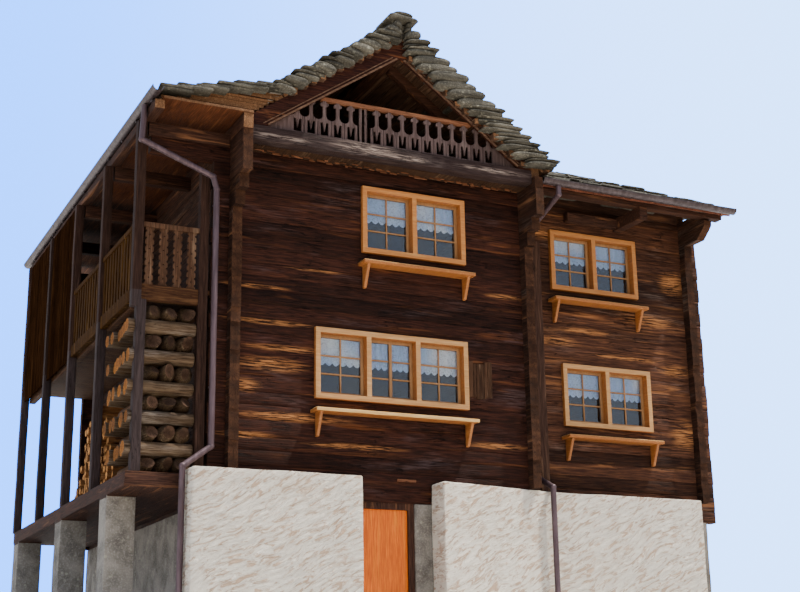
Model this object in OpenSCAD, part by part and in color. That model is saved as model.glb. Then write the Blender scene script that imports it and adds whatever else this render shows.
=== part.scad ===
// Alpine chalet of squared logs on a masonry base: gabled main house, side gallery, lower wing.
// X runs along the main facade, Y into the house, Z up. The ridge of the main house stands over X = 0,
// the main facade is the plane Y = 0 and the ground is Z = 0.

/* [Main house] */
// Ridge line to the outer face of the left log wall
main_left = 2500; // [2300:10:2700]
// Ridge line to the outer face of the right log wall
main_right = 2350; // [2300:10:2450]
// Depth of the main house, outer face to outer face
main_depth = 7600; // [7000:50:8400]
// Height of the masonry base
base_h = 1800; // [1750:10:1860]
// Thickness of the masonry base walls
base_t = 450; // [380:10:500]
// Courses of logs in the walls
courses = 24; // [24:1:24]

/* [Logs] */
// Height of one log course
log_h = 205; // [203:1:207]
// Thickness of the log walls
log_t = 150; // [130:5:160]
// Depth of the groove between two courses
groove = 10; // [6:1:16]
// Log ends standing out past the corner, to the side
end_side = 250; // [180:10:260]
// Log ends standing out past the corner, to the front
end_front = 150; // [100:5:180]
// Reach of the topmost corner corbels in front of the facade
corbel_reach = 550; // [540:5:600]

/* [Wing] */
// Width of the wing beside the main house
wing_w = 3430; // [3200:10:3700]
// Distance of the wing facade behind the main facade
wing_back = 500; // [480:10:520]
// Depth of the wing
wing_depth = 4800; // [4400:50:5200]
// Slope of the wing roof in degrees
wing_pitch = 20; // [18:0.5:22]
// Reach of the wing eaves in front of the wing facade
wing_eave = 900; // [860:10:920]

/* [Roof] */
// Slope of the left main roof in degrees
left_pitch = 34.7; // [34:0.1:35.4]
// Slope of the right main roof in degrees
right_pitch = 36.2; // [35.8:0.1:36.8]
// Height of the underside of the main roof at the ridge, above the top of the log walls
ridge_under = 2000; // [1980:5:2040]
// Thickness of the stone covering, measured upright
stone_t = 360; // [320:10:400]
// Reach of the verges in front of the facade and behind the rear wall
verge = 620; // [610:5:700]
// Reach of the right slope past the right wall
right_eave = 300; // [260:10:320]
// Slab courses on the left main slope
slab_courses = 14; // [12:1:16]
// Length of the slabs, seen from the gable
slab_l = 320; // [280:10:330]
// Length of the slabs at the front left verge
verge_l_left = 400; // [340:10:430]
// Length of the slabs at the front right verge
verge_l_right = 700; // [640:10:720]
// Height of the ridge slabs
ridge_cap_h = 55; // [40:5:90]

/* [Loft] */
// Height of the loft sill beam
loft_beam_h = 220; // [200:5:230]
// Thickness of the loft sill beam
loft_beam_t = 200; // [150:5:220]
// Height of the loft balustrade above the sill beam
loft_rail_h = 640; // [600:10:660]
// Sawn boards in the loft balustrade
loft_boards = 16; // [14:1:18]
// Thickness of the sawn boards
board_t = 30; // [20:2:40]

/* [Gallery] */
// Width of the gallery, wall to the outer face of the posts
gallery_w = 1330; // [1250:10:1400]
// Side of the gallery posts
post_w = 130; // [120:5:150]
// Height of the gallery floor above the masonry base
gallery_z = 2780; // [2740:10:2840]
// Thickness of the gallery floor boards
gallery_floor_t = 60; // [40:5:80]
// Height of the gallery rail above the floor
gallery_rail_h = 880; // [820:10:960]
// Height of the beams that carry the gallery and its lower deck
deck_beam = 200; // [160:5:220]
// Upright slats between two gallery posts
slats = 11; // [8:1:13]

/* [Firewood] */
// Half the width of the logs that lie along the front
log_flat = 90; // [84:1:91]
// Length of the logs that point forward
crib_depth = 1250; // [1150:10:1300]
// Length of the heap of billets behind the crossed logs
heap_l = 2200; // [1800:50:2300]
// Radius of the billets
billet_r = 62; // [56:2:70]

/* [Windows] */
// Thickness of the window frame planks
frame_t = 75; // [60:5:85]
// Reach of the window frames in front of the wall
frame_out = 60; // [40:5:80]
// Reach of the window frames into the wall
frame_in = 110; // [106:1:120]
// Distance from the frame's front edge to the casements
casement_in = 120; // [90:5:120]
// Thickness of the casements
casement_t = 45; // [36:1:45]
// Width of the casement stiles and rails
stile_w = 45; // [38:1:56]
// Thickness of the glass
glass_t = 8; // [6:1:12]
// Depth of the flower shelves
shelf_d = 250; // [200:10:280]
// Thickness of the flower shelves
shelf_t = 50; // [35:5:60]
// Height of the shelf brackets
bracket_h = 380; // [320:10:400]

/* [Door] */
// Width of the cellar door leaf
door_w = 766; // [740:2:780]
// Thickness of the cellar door leaf
door_t = 45; // [40:1:50]
// Thickness of the door frame
jamb_t = 80; // [60:5:90]
// Running gap round the door leaf
door_gap = 8; // [7:0.5:9]
// Radius of the hinge pins
pin_r = 6; // [5:0.5:7]
// Gap between a hinge pin and its eye
pin_gap = 0.3; // [0.2:0.05:0.4]

/* [Plinth walls] */
// Height of the white plinth walls above the masonry base
plinth_h = 285; // [250:5:295]
// Thickness of the left white plinth wall
plinth_t = 450; // [400:10:480]

/* [Rainwater] */
// Outer radius of the gutters
gutter_r = 82; // [70:2:90]
// Sheet thickness of the gutters
gutter_t = 6; // [4:1:8]
// Outer radius of the downpipes
pipe_r = 42; // [36:1:46]

/* [Hidden] */
$fn = 32;

// Joint gap where one piece seats on a sloping or curved face of another
seat = 0.3;

// Heights and lines that several pieces share
wall_top = base_h + courses * log_h;
half_log = log_h / 2;
side_top = wall_top + half_log;
tan_left = tan(left_pitch);
tan_right = tan(right_pitch);
tan_wing = tan(wing_pitch);
deck_z = wall_top + 370;
plate_top = deck_z - 40;
ridge_z = wall_top + ridge_under;
plinth_top = base_h + plinth_h;
loft_beam_y = -450;
loft_floor_t = 50;
storey_floor_t = 80;
upper_floor_z = base_h + 2620;
verge_back = main_depth + verge;
inner_left = -main_left + log_t;
inner_right = main_right - log_t;
wing_x = main_right + wing_w;
wing_y1 = wing_back + wing_depth;
wing_ridge_y = wing_back + wing_depth / 2;
wing_eave_y = wing_back - wing_eave;
wing_under = wall_top + 20;
purlin_y = wing_back - 740;
purlin_w = 160;
wing_stone = 110;
wing_over = 260;
break_x = main_left - 420;
eave_flat_z = ridge_z - tan_right * main_right;
gallery_x = -main_left - gallery_w;
gallery_end = main_depth - 150;
post_count = 5;
post_pitch = (main_depth - post_w - 20) / (post_count - 1);
walk_z = base_h + gallery_z;
beam_z = walk_z - gallery_floor_t - 160;
deck_top = base_h + 250;
console_bottom = wall_top - 2 * log_h;
inner_post_x = -main_left - 410;
foot_post_x = gallery_x + 70;
frame_y = [for (i = [0 : post_count - 1]) i * post_pitch];

// Windows as [centre x, bottom z, width, height, lights, facade plane y]
win_lower = [0, base_h + 1395, 2420, 1020, 3, 0];
win_upper = [372, base_h + 3608, 1696, 1022, 2, 0];
win_wing_upper = [main_right + 1515, base_h + 3586, 1650, 994, 2, wing_back];
win_wing_lower = [main_right + 1645, base_h + 1392, 1650, 994, 2, wing_back];
front_windows = [win_lower, win_upper, win_wing_upper, win_wing_lower];
// The rear wall repeats the storeys with one window each, seen from behind
rear_lower = [0, base_h + 1395, 1696, 1020, 2, 0];
rear_upper = [0, base_h + 3608, 1696, 1022, 2, 0];
rear_windows = [rear_lower, rear_upper];

// White plinth walls beside the doorway
plinth_left_x0 = -main_left - 570;
plinth_left_x1 = -675;
plinth_right_x0 = 580;
plinth_run_y = 50;

// Doorway
door_x0 = -535;
door_x1 = door_x0 + door_w;
door_y = 75;
door_z0 = 128;
door_z1 = base_h - jamb_t - door_gap;
jamb_x0 = door_x0 - 5;
jamb_x1 = door_x1 + door_gap;
doorway_x0 = jamb_x0 - jamb_t;
doorway_x1 = jamb_x1 + jamb_t;
hinge_x = door_x0 - 2.5;
hinge_y = door_y + door_t + 12;
hinge_z = [door_z0 + 220, door_z1 - 250];
eye_h = 36;
stop_w = 12;

// Colours
c_log = [0.26, 0.14, 0.08];
c_grey_wood = [0.42, 0.38, 0.34];
c_pine = [0.72, 0.45, 0.18];
c_stone = [0.48, 0.48, 0.42];
c_plaster = [0.88, 0.84, 0.78];
c_metal = [0.33, 0.24, 0.24];

// Underside of the left slope, x is negative there, and of the right slope, where pieces seat
function under_left(x) = ridge_z - seat + tan_left * x;
function under_right(x) = ridge_z - seat - tan_right * x;

// Lays a flat outline drawn in X and Z across the house, from y0 to y1
module across(y0, y1) {
    translate([0, y1, 0]) rotate([90, 0, 0]) linear_extrude(y1 - y0) children();
}

// Lays a flat outline drawn in Y and Z along the facade, from x0 to x1
module along(x0, x1) {
    translate([x0, 0, 0]) rotate([90, 0, 90]) linear_extrude(x1 - x0) children();
}

// Upright block between two corners
module block(a, b) {
    translate(a) cube(b - a);
}

// Section of stacked logs as [depth, height] points, with grooves between courses on the outer face
function log_face(z0, z1, start) = [
    for (k = [0 : ceil((z1 - start) / log_h)])
        let (zb = start + (k - 1) * log_h, zt = zb + log_h)
        if (zt > z0 + groove && zb < z1 - groove)
            each [
                [zb <= z0 ? 0 : groove, max(zb, z0)],
                [0, max(zb, z0) + groove],
                [0, min(zt, z1) - groove],
                [zt >= z1 ? 0 : groove, min(zt, z1)]
            ]
];

module log_section(z0, z1, start) {
    polygon(concat(log_face(z0, z1, start), [[log_t, z1], [log_t, z0]]));
}

// Slots left in a corner for the logs of the crossing wall, shift counts courses
module corner_slots(u0, shift, first, last) {
    for (k = [first : last])
        translate([u0, base_h + (k + shift) * log_h]) square([log_t, half_log]);
}

// Outline of round-nosed slabs laid nearly level like stairs, from the ridge out to reach
function slab_steps(reach, slope, top, n, length) =
    let (
        dx = reach / n,
        rise = slope * dx,
        lap = 4,
        r = (rise + lap) / 2,
        first_tail = floor(length / dx + 0.1) + 1
    )
    concat(
        [[0, top - rise]],
        [
            for (k = [1 : n])
                let (x = k * dx - r, z = top - k * rise - r)
                each [
                    for (a = [90 : -30 : k < n ? -60 : -90]) [x + r * cos(a), z + r * sin(a)],
                    if (k < n) [x + r / 4, z + r - rise]
                ]
        ],
        [
            for (k = [n : -1 : first_tail])
                let (x = k * dx - length + r, z = top - k * rise - r)
                each [
                    for (a = [270 : -30 : 120]) [x + r * cos(a), z + r * sin(a)],
                    [x - r / 4, z + r - lap]
                ]
        ],
        [[0, top - (first_tail - 1) * rise - 2 * r]]
    );

// Masonry base

module threshold_stone() {
    color(c_stone) block([plinth_left_x1 + 5, -plinth_t, 0], [plinth_right_x0 - 50, 0, 110]);
}

module plinth_wall_left() {
    color(c_plaster) block([plinth_left_x0, -plinth_t, 0], [plinth_left_x1, 0, plinth_top]);
}

module plinth_wall_right() {
    color(c_plaster) linear_extrude(plinth_top) polygon([
        [plinth_right_x0, -plinth_t + 50], [main_right + 270, plinth_run_y], [wing_x - 420, plinth_run_y],
        [wing_x - 420, wing_back], [main_right, wing_back], [main_right, 0], [plinth_right_x0, 0]
    ]);
}

module basement_side_walls() {
    color(c_stone) {
        block([-main_left, base_t, 0], [-main_left + base_t, main_depth - base_t, base_h]);
        block([main_right - base_t, base_t, 0], [main_right, main_depth - base_t, base_h]);
        block([wing_x - base_t, wing_back + base_t, 0], [wing_x, wing_y1 - base_t, base_h]);
    }
}

module basement_cross_walls() {
    color(c_stone) {
        block([-main_left, 0, 0], [doorway_x0, base_t, base_h]);
        block([doorway_x1, 0, 0], [main_right, base_t, base_h]);
        block([-main_left, main_depth - base_t, 0], [main_right, main_depth, base_h]);
        block([main_right, wing_back, 0], [wing_x, wing_back + base_t, base_h]);
        block([main_right, wing_y1 - base_t, 0], [wing_x, wing_y1, base_h]);
    }
}

module basement_floor() {
    color(c_stone) {
        block([-main_left + base_t, base_t, 0], [main_right - base_t, main_depth - base_t, 100]);
        block([doorway_x0, 0, 0], [doorway_x1, base_t, 100]);
    }
}

// Log walls

// Elevation of a front window's hole
module window_hole(w) {
    translate([w[0] - w[2] / 2, w[1]]) square([w[2], w[3]]);
}

module front_wall() {
    color(c_log) intersection() {
        across(0, log_t) difference() {
            union() {
                translate([-main_left - end_side, base_h])
                    square([main_left + end_side + main_right, wall_top - base_h]);
                translate([gallery_x + post_w + 20, console_bottom])
                    square([main_left, wall_top - console_bottom]);
            }
            corner_slots(-main_left, 0.75, 0, courses - 2);
            corner_slots(inner_right, 0.75, 0, courses - 2);
            for (x = [-main_left, inner_right]) {
                translate([x, base_h]) square([log_t, half_log / 2]);
                translate([x, wall_top - half_log / 2]) square([log_t, half_log / 2]);
            }
            window_hole(win_lower);
            window_hole(win_upper);
        }
        along(gallery_x, main_right) log_section(base_h, wall_top, base_h);
    }
}

// Elevation of a side wall from the front corner y0 to the rear corner y1, with its log ends
module side_elevation(y0, y1) {
    difference() {
        union() {
            translate([y0, base_h]) square([y1 - y0, side_top - base_h]);
            translate([y0 - end_front, base_h + 1.5 * log_h])
                square([y1 - y0 + 2 * end_front, side_top - base_h - 1.5 * log_h]);
        }
        corner_slots(y0, 0.25, 0, courses - 1);
        corner_slots(y1 - log_t, 0.25, 0, courses - 1);
    }
}

// Corbel logs that step forward below the loft beam
module corbel_steps() {
    for (k = [0 : 4]) {
        reach = min(corbel_reach, 250 + k * 150);
        translate([-reach, base_h + (courses - 4.5 + k) * log_h]) square([reach, log_h]);
    }
}

module left_wall() {
    color(c_log) intersection() {
        along(-main_left, inner_left) difference() {
            union() {
                side_elevation(0, main_depth);
                corbel_steps();
            }
            corner_slots(0, 0.25, 0, courses - 1);
        }
        translate([-main_left, 0, 0]) mirror([0, 1, 0]) rotate([0, 0, -90])
            along(-corbel_reach, verge_back) log_section(base_h, side_top, base_h + half_log);
    }
}

module right_wall() {
    color(c_log) intersection() {
        along(inner_right, main_right) difference() {
            union() {
                side_elevation(0, main_depth);
                corbel_steps();
            }
            corner_slots(0, 0.25, 0, courses - 1);
        }
        translate([main_right, 0, 0]) rotate([0, 0, 90])
            along(-corbel_reach, verge_back) log_section(base_h, side_top, base_h + half_log);
    }
}

module rear_wall() {
    color(c_log) intersection() {
        across(main_depth - log_t, main_depth) difference() {
            union() {
                translate([-main_left - end_side, base_h])
                    square([main_left + 2 * end_side + main_right, wall_top - base_h]);
                polygon([
                    [inner_left, wall_top - log_h], [inner_left, under_left(inner_left)],
                    [0, under_left(0)],
                    [inner_right, under_right(inner_right)], [inner_right, wall_top - log_h]
                ]);
            }
            corner_slots(-main_left, 0.75, 0, courses - 2);
            corner_slots(inner_right, 0.75, 0, courses - 2);
            for (x = [-main_left, inner_right]) {
                translate([x, base_h]) square([log_t, half_log / 2]);
                translate([x, wall_top - half_log / 2]) square([log_t, half_log / 2]);
            }
            for (w = rear_windows) mirror([1, 0]) window_hole(w);
            translate([-140, ridge_z - 300]) square([280, 300]);
        }
        translate([0, main_depth, 0]) mirror([0, 1, 0])
            along(-main_left - end_side, main_right + end_side)
            log_section(base_h, ridge_z, base_h);
    }
}

module wing_front_wall() {
    color(c_log) intersection() {
        across(wing_back, wing_back + log_t) difference() {
            translate([main_right, base_h]) square([wing_w + 200, side_top - base_h]);
            corner_slots(wing_x - log_t, 0.75, 0, courses - 1);
            for (z = [base_h, side_top - half_log / 2])
                translate([wing_x - log_t, z]) square([log_t, half_log / 2]);
            window_hole(win_wing_upper);
            window_hole(win_wing_lower);
        }
        translate([0, wing_back, 0]) along(main_right, wing_x + 200)
            log_section(base_h, side_top, base_h);
    }
}

module wing_right_wall() {
    color(c_log) intersection() {
        along(wing_x - log_t, wing_x) difference() {
            union() {
                side_elevation(wing_back, wing_y1);
                polygon([
                    [wing_back, side_top - log_h / 4], [wing_back, wing_roof_z(wing_back)],
                    [wing_ridge_y, wing_roof_z(wing_ridge_y)],
                    [wing_y1, wing_roof_z(wing_back)], [wing_y1, side_top - log_h / 4]
                ]);
                polygon([
                    [wing_back + 10, wall_top - 1.5 * log_h], [wing_back + 10, wall_top - seat],
                    [purlin_y, wall_top - seat], [purlin_y, wall_top - half_log],
                    [0, wall_top - 1.5 * log_h]
                ]);
                translate([purlin_y + purlin_w + seat, wall_top - 10])
                    square([wing_back - purlin_y - purlin_w + 10, half_log + 10]);
            }
            corner_slots(wing_back, 0.25, 0, courses - 1);
            corner_slots(wing_y1 - log_t, 0.25, 0, courses - 1);
        }
        translate([wing_x, 0, 0]) rotate([0, 0, 90])
            along(-end_side, wing_y1 + end_side)
            log_section(base_h, wing_roof_z(wing_ridge_y), base_h + half_log);
    }
}

module wing_rear_wall() {
    color(c_log) intersection() {
        across(wing_y1 - log_t, wing_y1) difference() {
            translate([main_right, base_h]) square([wing_w + 200, side_top - base_h]);
            corner_slots(wing_x - log_t, 0.75, 0, courses - 1);
            for (z = [base_h, side_top - half_log / 2])
                translate([wing_x - log_t, z]) square([log_t, half_log / 2]);
        }
        translate([0, wing_y1, 0]) mirror([0, 1, 0]) along(main_right, wing_x + 200)
            log_section(base_h, side_top, base_h);
    }
}

module wing_corner_board() {
    color(c_grey_wood) block([main_right + 350, wing_back - 45, plinth_top],
                               [main_right + 500, wing_back, wall_top - 570]);
}

// Floors

module storey_floors() {
    color(c_log) for (z = [base_h, upper_floor_z]) {
        block([inner_left, log_t, z], [inner_right, main_depth - log_t, z + storey_floor_t]);
        block([main_right, wing_back + log_t, z], [wing_x - log_t, wing_y1 - log_t, z + storey_floor_t]);
    }
}

module loft_floor() {
    color(c_log) block([inner_left, loft_beam_y + loft_beam_t, wall_top],
                       [inner_right, main_depth - log_t, wall_top + loft_floor_t]);
}

// Open loft in the front gable

module loft_beam() {
    color(c_grey_wood) block([inner_left, loft_beam_y, wall_top],
                             [inner_right, loft_beam_y + loft_beam_t, wall_top + loft_beam_h]);
}

// Lower edge of the rake boards at a distance from the ridge
rake_w = 310;
rake_y0 = loft_beam_y + 30;
rake_y1 = rake_y0 + 50;

module rake_boards() {
    z = wall_top + loft_beam_h;
    color(c_log) across(rake_y0, rake_y1) difference() {
        polygon([
            [inner_left, z], [inner_left, under_left(inner_left)], [0, under_left(0)],
            [inner_right, under_right(inner_right)], [inner_right, z]
        ]);
        polygon([
            [-(ridge_z - rake_w - z) / tan_left, z], [0, ridge_z - rake_w],
            [(ridge_z - rake_w - z) / tan_right, z]
        ]);
    }
}

// One sawn baluster board seen from the front: a slotted foot with a hanging tongue, a narrow neck
// between two cup-shaped cut-outs, and two small scrolls under the rail
module sawn_board(w, h) {
    cup = w * 0.37;
    cup_z = h * 0.62;
    difference() {
        square([w, h]);
        for (x = [0, w]) translate([x, cup_z]) {
            circle(cup);
            translate([-cup, 0]) square([2 * cup, h]);
        }
        difference() {
            translate([w * 0.2, h * 0.08]) square([w * 0.6, h * 0.34]);
            polygon([[w * 0.36, h * 0.43], [w * 0.64, h * 0.43], [w * 0.5, h * 0.17]]);
        }
    }
    for (x = [0.33, 0.67]) translate([w * x, h * 0.91]) circle(w * 0.14);
}

baluster_y = rake_y1 + 2;
board_y = baluster_y + 12;
// Planks close the corners under the rakes and lap over the end boards
corner_plank_w = 400;
missing_board = 5;

module loft_balustrade() {
    z = wall_top + loft_beam_h;
    foot_l = (ridge_z - rake_w - z) / tan_left;
    foot_r = (ridge_z - rake_w - z) / tan_right;
    rail_l = foot_l - loft_rail_h / tan_left + 60;
    rail_r = foot_r - loft_rail_h / tan_right + 60;
    h = loft_rail_h - 60;
    span0 = -foot_l + corner_plank_w;
    w = (foot_r + foot_l - 2 * corner_plank_w) / loft_boards;
    color(c_grey_wood) {
        across(board_y, board_y + board_t) intersection() {
            translate([0, z]) {
                for (k = [0 : loft_boards - 1]) if (k != missing_board)
                    translate([span0 + k * w + 4, 0]) sawn_board(w - 8, h);
                translate([-foot_l - 40, 0]) square([corner_plank_w + 60, h]);
                translate([foot_r - corner_plank_w - 20, 0]) square([corner_plank_w + 60, h]);
            }
            polygon([[-foot_l - 40, z], [0, ridge_z - rake_w + 60], [foot_r + 40, z]]);
        }
        for (k = [0.3, 0.7]) block([span0 + (missing_board + k) * w - 20, board_y + board_t, z],
                                   [span0 + (missing_board + k) * w + 20, baluster_y + 70, z + h]);
        block([-rail_l, baluster_y, z + h], [rail_r, baluster_y + 70, z + loft_rail_h]);
    }
}

// Roof timbers

rafter_h = 160;
rafter_w = 120;

module rafters() {
    color(c_log) for (y = [0, 1800, 3600, 5400])
        across(y + 200, y + 200 + rafter_w) difference() {
            polygon([
                [inner_left, under_left(inner_left)], [0, under_left(0)],
                [inner_right, under_right(inner_right)],
                [inner_right, under_right(inner_right) - rafter_h],
                [0, under_left(0) - rafter_h],
                [inner_left, under_left(inner_left) - rafter_h]
            ]);
            translate([-110, ridge_z - rake_w]) square([220, rake_w]);
        }
}

// Ridge beam and the two wall plates
module main_purlins() {
    z = ridge_z - 110 * tan_right;
    color(c_log) {
        across(rake_y1, main_depth + 500)
            polygon([[-110, z - 130], [110, z - 130], [110, z], [0, ridge_z - 2], [-110, z]]);
        block([-main_left, -corbel_reach, side_top], [inner_left, main_depth + 500, plate_top]);
        across(rake_y0, main_depth + 500) polygon([
            [inner_right, side_top], [main_right, side_top],
            [main_right, eave_flat_z], [inner_right, under_right(inner_right)]
        ]);
    }
}

// Stone slab roofs: courses of thick slabs that overlap like stairs, longer and free at the front
// verges and bedded on the deck behind them

right_reach = main_right + right_eave;
right_courses = slab_courses + 3;
slab_top = ridge_z + stone_t;
bed_top = slab_top - 150;
field_y = rake_y0 - seat;

module roof_left() {
    color(c_stone) mirror([1, 0, 0]) {
        across(-verge, field_y)
            polygon(slab_steps(break_x, tan_left, slab_top, slab_courses, verge_l_left));
        across(field_y, verge_back)
            polygon(slab_steps(break_x, tan_left, slab_top, slab_courses, slab_l));
        across(rake_y0, verge_back - 200) polygon([
            [0, ridge_z], [0, bed_top],
            [break_x, bed_top - tan_left * break_x], [break_x, ridge_z - tan_left * break_x]
        ]);
    }
}

module roof_right() {
    x = right_reach - 90;
    color(c_stone) {
        across(-verge, field_y)
            polygon(slab_steps(right_reach, tan_right, slab_top, right_courses, verge_l_right));
        across(field_y, verge_back)
            polygon(slab_steps(right_reach, tan_right, slab_top, right_courses, slab_l));
        across(rake_y0, verge_back - 200) polygon([
            [0, ridge_z], [0, bed_top],
            [x, bed_top - tan_right * x], [x, eave_flat_z], [main_right, eave_flat_z]
        ]);
    }
}

module ridge_slabs() {
    left = slab_top + seat - tan_left * break_x / slab_courses;
    right = slab_top + seat - tan_right * right_reach / right_courses;
    top = left + ridge_cap_h;
    color(c_stone) {
        across(-verge, verge_back)
            polygon([[-230, left], [0, left], [0, right], [210, right], [210, top], [-230, top]]);
        block([-170, -verge + 30, top], [240, verge_back - 60, top + ridge_cap_h]);
    }
}

module gallery_roof() {
    x0 = gallery_x + 190;
    reach = -x0 + 70 - break_x;
    top = slab_top - tan_left * break_x;
    slope = (top - deck_z - 180) / reach;
    bed = 87;
    color(c_stone) {
        across(-verge, verge_back) mirror([1, 0]) translate([break_x + seat, 0])
            polygon(slab_steps(reach, slope, top, 5, 450));
        across(rake_y0, verge_back - 200) polygon([
            [x0, deck_z], [-(ridge_z - deck_z) / tan_left, deck_z],
            [-break_x - seat, ridge_z - seat - tan_left * break_x],
            [-break_x - seat, top - bed], [x0, top - bed - slope * (reach - 70)]
        ]);
    }
}

module gallery_soffit() {
    x0 = gallery_x + 190;
    color(c_pine) block([x0, -verge + 60, plate_top], [inner_left, verge_back - 60, deck_z - seat]);
}

// Underside of the wing roof at a depth y, where pieces seat
function wing_roof_z(y) =
    wing_under - seat + tan_wing * (wing_ridge_y - wing_eave_y - abs(y - wing_ridge_y));

// Stone section of one wing slope with its thinner slabs, from the eave up to the ridge
module wing_slope_outline() {
    run = wing_ridge_y - wing_eave_y;
    n = 12;
    dx = run / n;
    rise = tan_wing * dx;
    noses = [
        for (k = [0 : n - 1])
            let (a = k * dx, z = wing_under + wing_stone + k * rise)
            each [[a, z - 10], [a + 10, z], [a + dx, z + 0.6 * rise]]
    ];
    polygon(concat([[0, wing_under]], noses, [[run, wing_under + n * rise]]));
}

// Everything under the right slope of the main roof, which the wing roof stops against
module under_main_roof() {
    top = slab_top + seat;
    across(-verge - 10, verge_back + 10) polygon([
        [-100, 0], [main_right, 0], [main_right, eave_flat_z], [right_reach + 1, eave_flat_z],
        [right_reach + 1, top - tan_right * right_reach], [0, top], [-100, top]
    ]);
}

module wing_roof() {
    color(c_stone) difference() {
        for (m = [0, 1]) translate([0, m * 2 * wing_ridge_y, 0]) mirror([0, m, 0])
            translate([0, wing_eave_y, 0]) along(900, wing_x + wing_over) wing_slope_outline();
        under_main_roof();
    }
}

// Purlins on the wing: wall plates, ridge purlin and the outer purlin at the front eave
module wing_purlins() {
    color(c_log) difference() {
        union() {
            for (m = [0, 1]) translate([0, m * 2 * wing_ridge_y, 0]) mirror([0, m, 0])
                along(main_right, wing_x - log_t) polygon([
                    [wing_back, side_top], [wing_back + log_t, side_top],
                    [wing_back + log_t, wing_roof_z(wing_back + log_t)], [wing_back, wing_roof_z(wing_back)]
                ]);
            along(main_right, wing_x - log_t) polygon([
                [wing_ridge_y - 90, wing_roof_z(wing_ridge_y - 90) - 140],
                [wing_ridge_y + 90, wing_roof_z(wing_ridge_y - 90) - 140],
                [wing_ridge_y + 90, wing_roof_z(wing_ridge_y - 90)],
                [wing_ridge_y, wing_roof_z(wing_ridge_y)],
                [wing_ridge_y - 90, wing_roof_z(wing_ridge_y - 90)]
            ]);
            along(main_right, wing_x + 200) polygon([
                [purlin_y, wall_top], [purlin_y + purlin_w, wall_top],
                [purlin_y + purlin_w, wing_roof_z(purlin_y + purlin_w)], [purlin_y, wing_roof_z(purlin_y)]
            ]);
        }
        under_main_roof();
    }
    // Corbel log in the middle of the facade, and a short hewn log beside it
    color(c_log) {
        x = main_right + 1950;
        block([x, purlin_y - 40, wall_top - log_h], [x + log_t, wing_back, wall_top]);
        block([x - 950, wing_back - 130, wall_top - 170], [x, wing_back, wall_top - 20]);
    }
}

// Gallery on the left side

module gallery_floor() {
    z0 = walk_z - gallery_floor_t;
    color(c_grey_wood) {
        block([gallery_x + post_w, 20, z0], [-main_left - end_side, log_t, walk_z]);
        block([gallery_x + post_w, log_t, z0], [-main_left, gallery_end, walk_z]);
        block([gallery_x + post_w, 20, beam_z], [inner_post_x, 120, z0]);
        block([gallery_x + post_w, 120, beam_z], [gallery_x + post_w + 100, gallery_end, z0]);
    }
}

module gallery_posts() {
    color(c_grey_wood) {
        for (k = [1 : post_count - 1]) let (y = frame_y[k])
            block([gallery_x, y, deck_top], [gallery_x + post_w, y + post_w, plate_top - 130]);
        // The front one is set inwards below the gallery floor
        block([gallery_x, 0, beam_z - 100], [gallery_x + post_w, post_w, plate_top - 130]);
        block([foot_post_x, 0, deck_top], [foot_post_x + post_w, post_w, beam_z - seat]);
        difference() {
            block([inner_post_x, 0, deck_top], [inner_post_x + post_w, post_w, console_bottom]);
            translate([0, 0, walk_z - gallery_floor_t]) block([gallery_x, 20, 0], [0, 300, gallery_floor_t]);
        }
    }
}

module gallery_plate() {
    x0 = gallery_x + 84;
    color(c_log) block([x0, -500, plate_top - 130], [x0 + 140, main_depth + 400, plate_top]);
}

module gallery_consoles() {
    x0 = gallery_x + post_w + 20;
    color(c_log) {
        block([x0, 0, wall_top], [-main_left, log_t, plate_top - 130]);
        for (k = [1 : post_count - 1]) let (y = frame_y[k])
            block([x0, y, plate_top - 330], [-main_left, y + post_w, plate_top - 130]);
    }
}

// One flat board with wavy edges, bored with a row of holes
module wavy_board(w, h, waves) {
    step = h / waves;
    difference() {
        square([w, h]);
        for (k = [0 : waves - 1], x = [0, w])
            translate([x, (k + 0.5) * step]) circle(w * 0.16);
        for (k = [1 : 2 : waves - 1]) translate([w / 2, k * step]) circle(w * 0.08);
    }
}

module gallery_front_balustrade() {
    x0 = gallery_x + post_w;
    x1 = inner_post_x;
    n = 4;
    pitch = (x1 - x0) / n;
    h = gallery_rail_h - 70;
    color(c_pine) {
        block([x0, 30, walk_z + h], [x1, 100, walk_z + gallery_rail_h]);
        across(50, 50 + board_t) translate([0, walk_z]) for (k = [0 : n - 1])
            translate([x0 + (k + 0.19) * pitch, 0]) wavy_board(pitch * 0.62, h, 8);
    }
}

module gallery_side_balustrade() {
    h = gallery_rail_h - 70;
    color(c_pine) for (bay = [0, 1]) {
        y0 = frame_y[bay] + post_w;
        y1 = frame_y[bay + 1];
        pitch = (y1 - y0) / slats;
        block([gallery_x + 30, y0, walk_z + h], [gallery_x + 100, y1, walk_z + gallery_rail_h]);
        block([gallery_x + 30, y0, walk_z - 200], [gallery_x + 110, y1, walk_z - 20]);
        for (k = [0 : slats - 1])
            block([gallery_x + 45, y0 + (k + 0.2) * pitch, walk_z - 20],
                  [gallery_x + 45 + board_t, y0 + (k + 0.75) * pitch, walk_z + h]);
    }
}

module gallery_boarding() {
    color(c_log) for (bay = [2, 3])
        block([gallery_x + 40, frame_y[bay] + post_w, walk_z - 200],
              [gallery_x + 40 + board_t, frame_y[bay + 1], plate_top - 130]);
}

// Lower deck on stone piers
module lower_deck() {
    color(c_grey_wood) {
        block([gallery_x, 0, deck_top - deck_beam], [-main_left - end_side, gallery_end, deck_top]);
        block([gallery_x, log_t, deck_top - deck_beam], [-main_left, gallery_end, deck_top]);
        for (y = [900, gallery_end / 2 - 25, gallery_end - 450])
            block([gallery_x, y, 0], [gallery_x + 400, y + 400, deck_top - deck_beam]);
    }
}

// Rough many-sided log lying along Y, its lowest flat at z = 0
module firewood_log(flat, length) {
    translate([0, 0, flat]) rotate([-90, 0, 0]) rotate([0, 0, 22.5])
        cylinder(r = flat / cos(22.5), h = length, $fn = 8);
}

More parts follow.
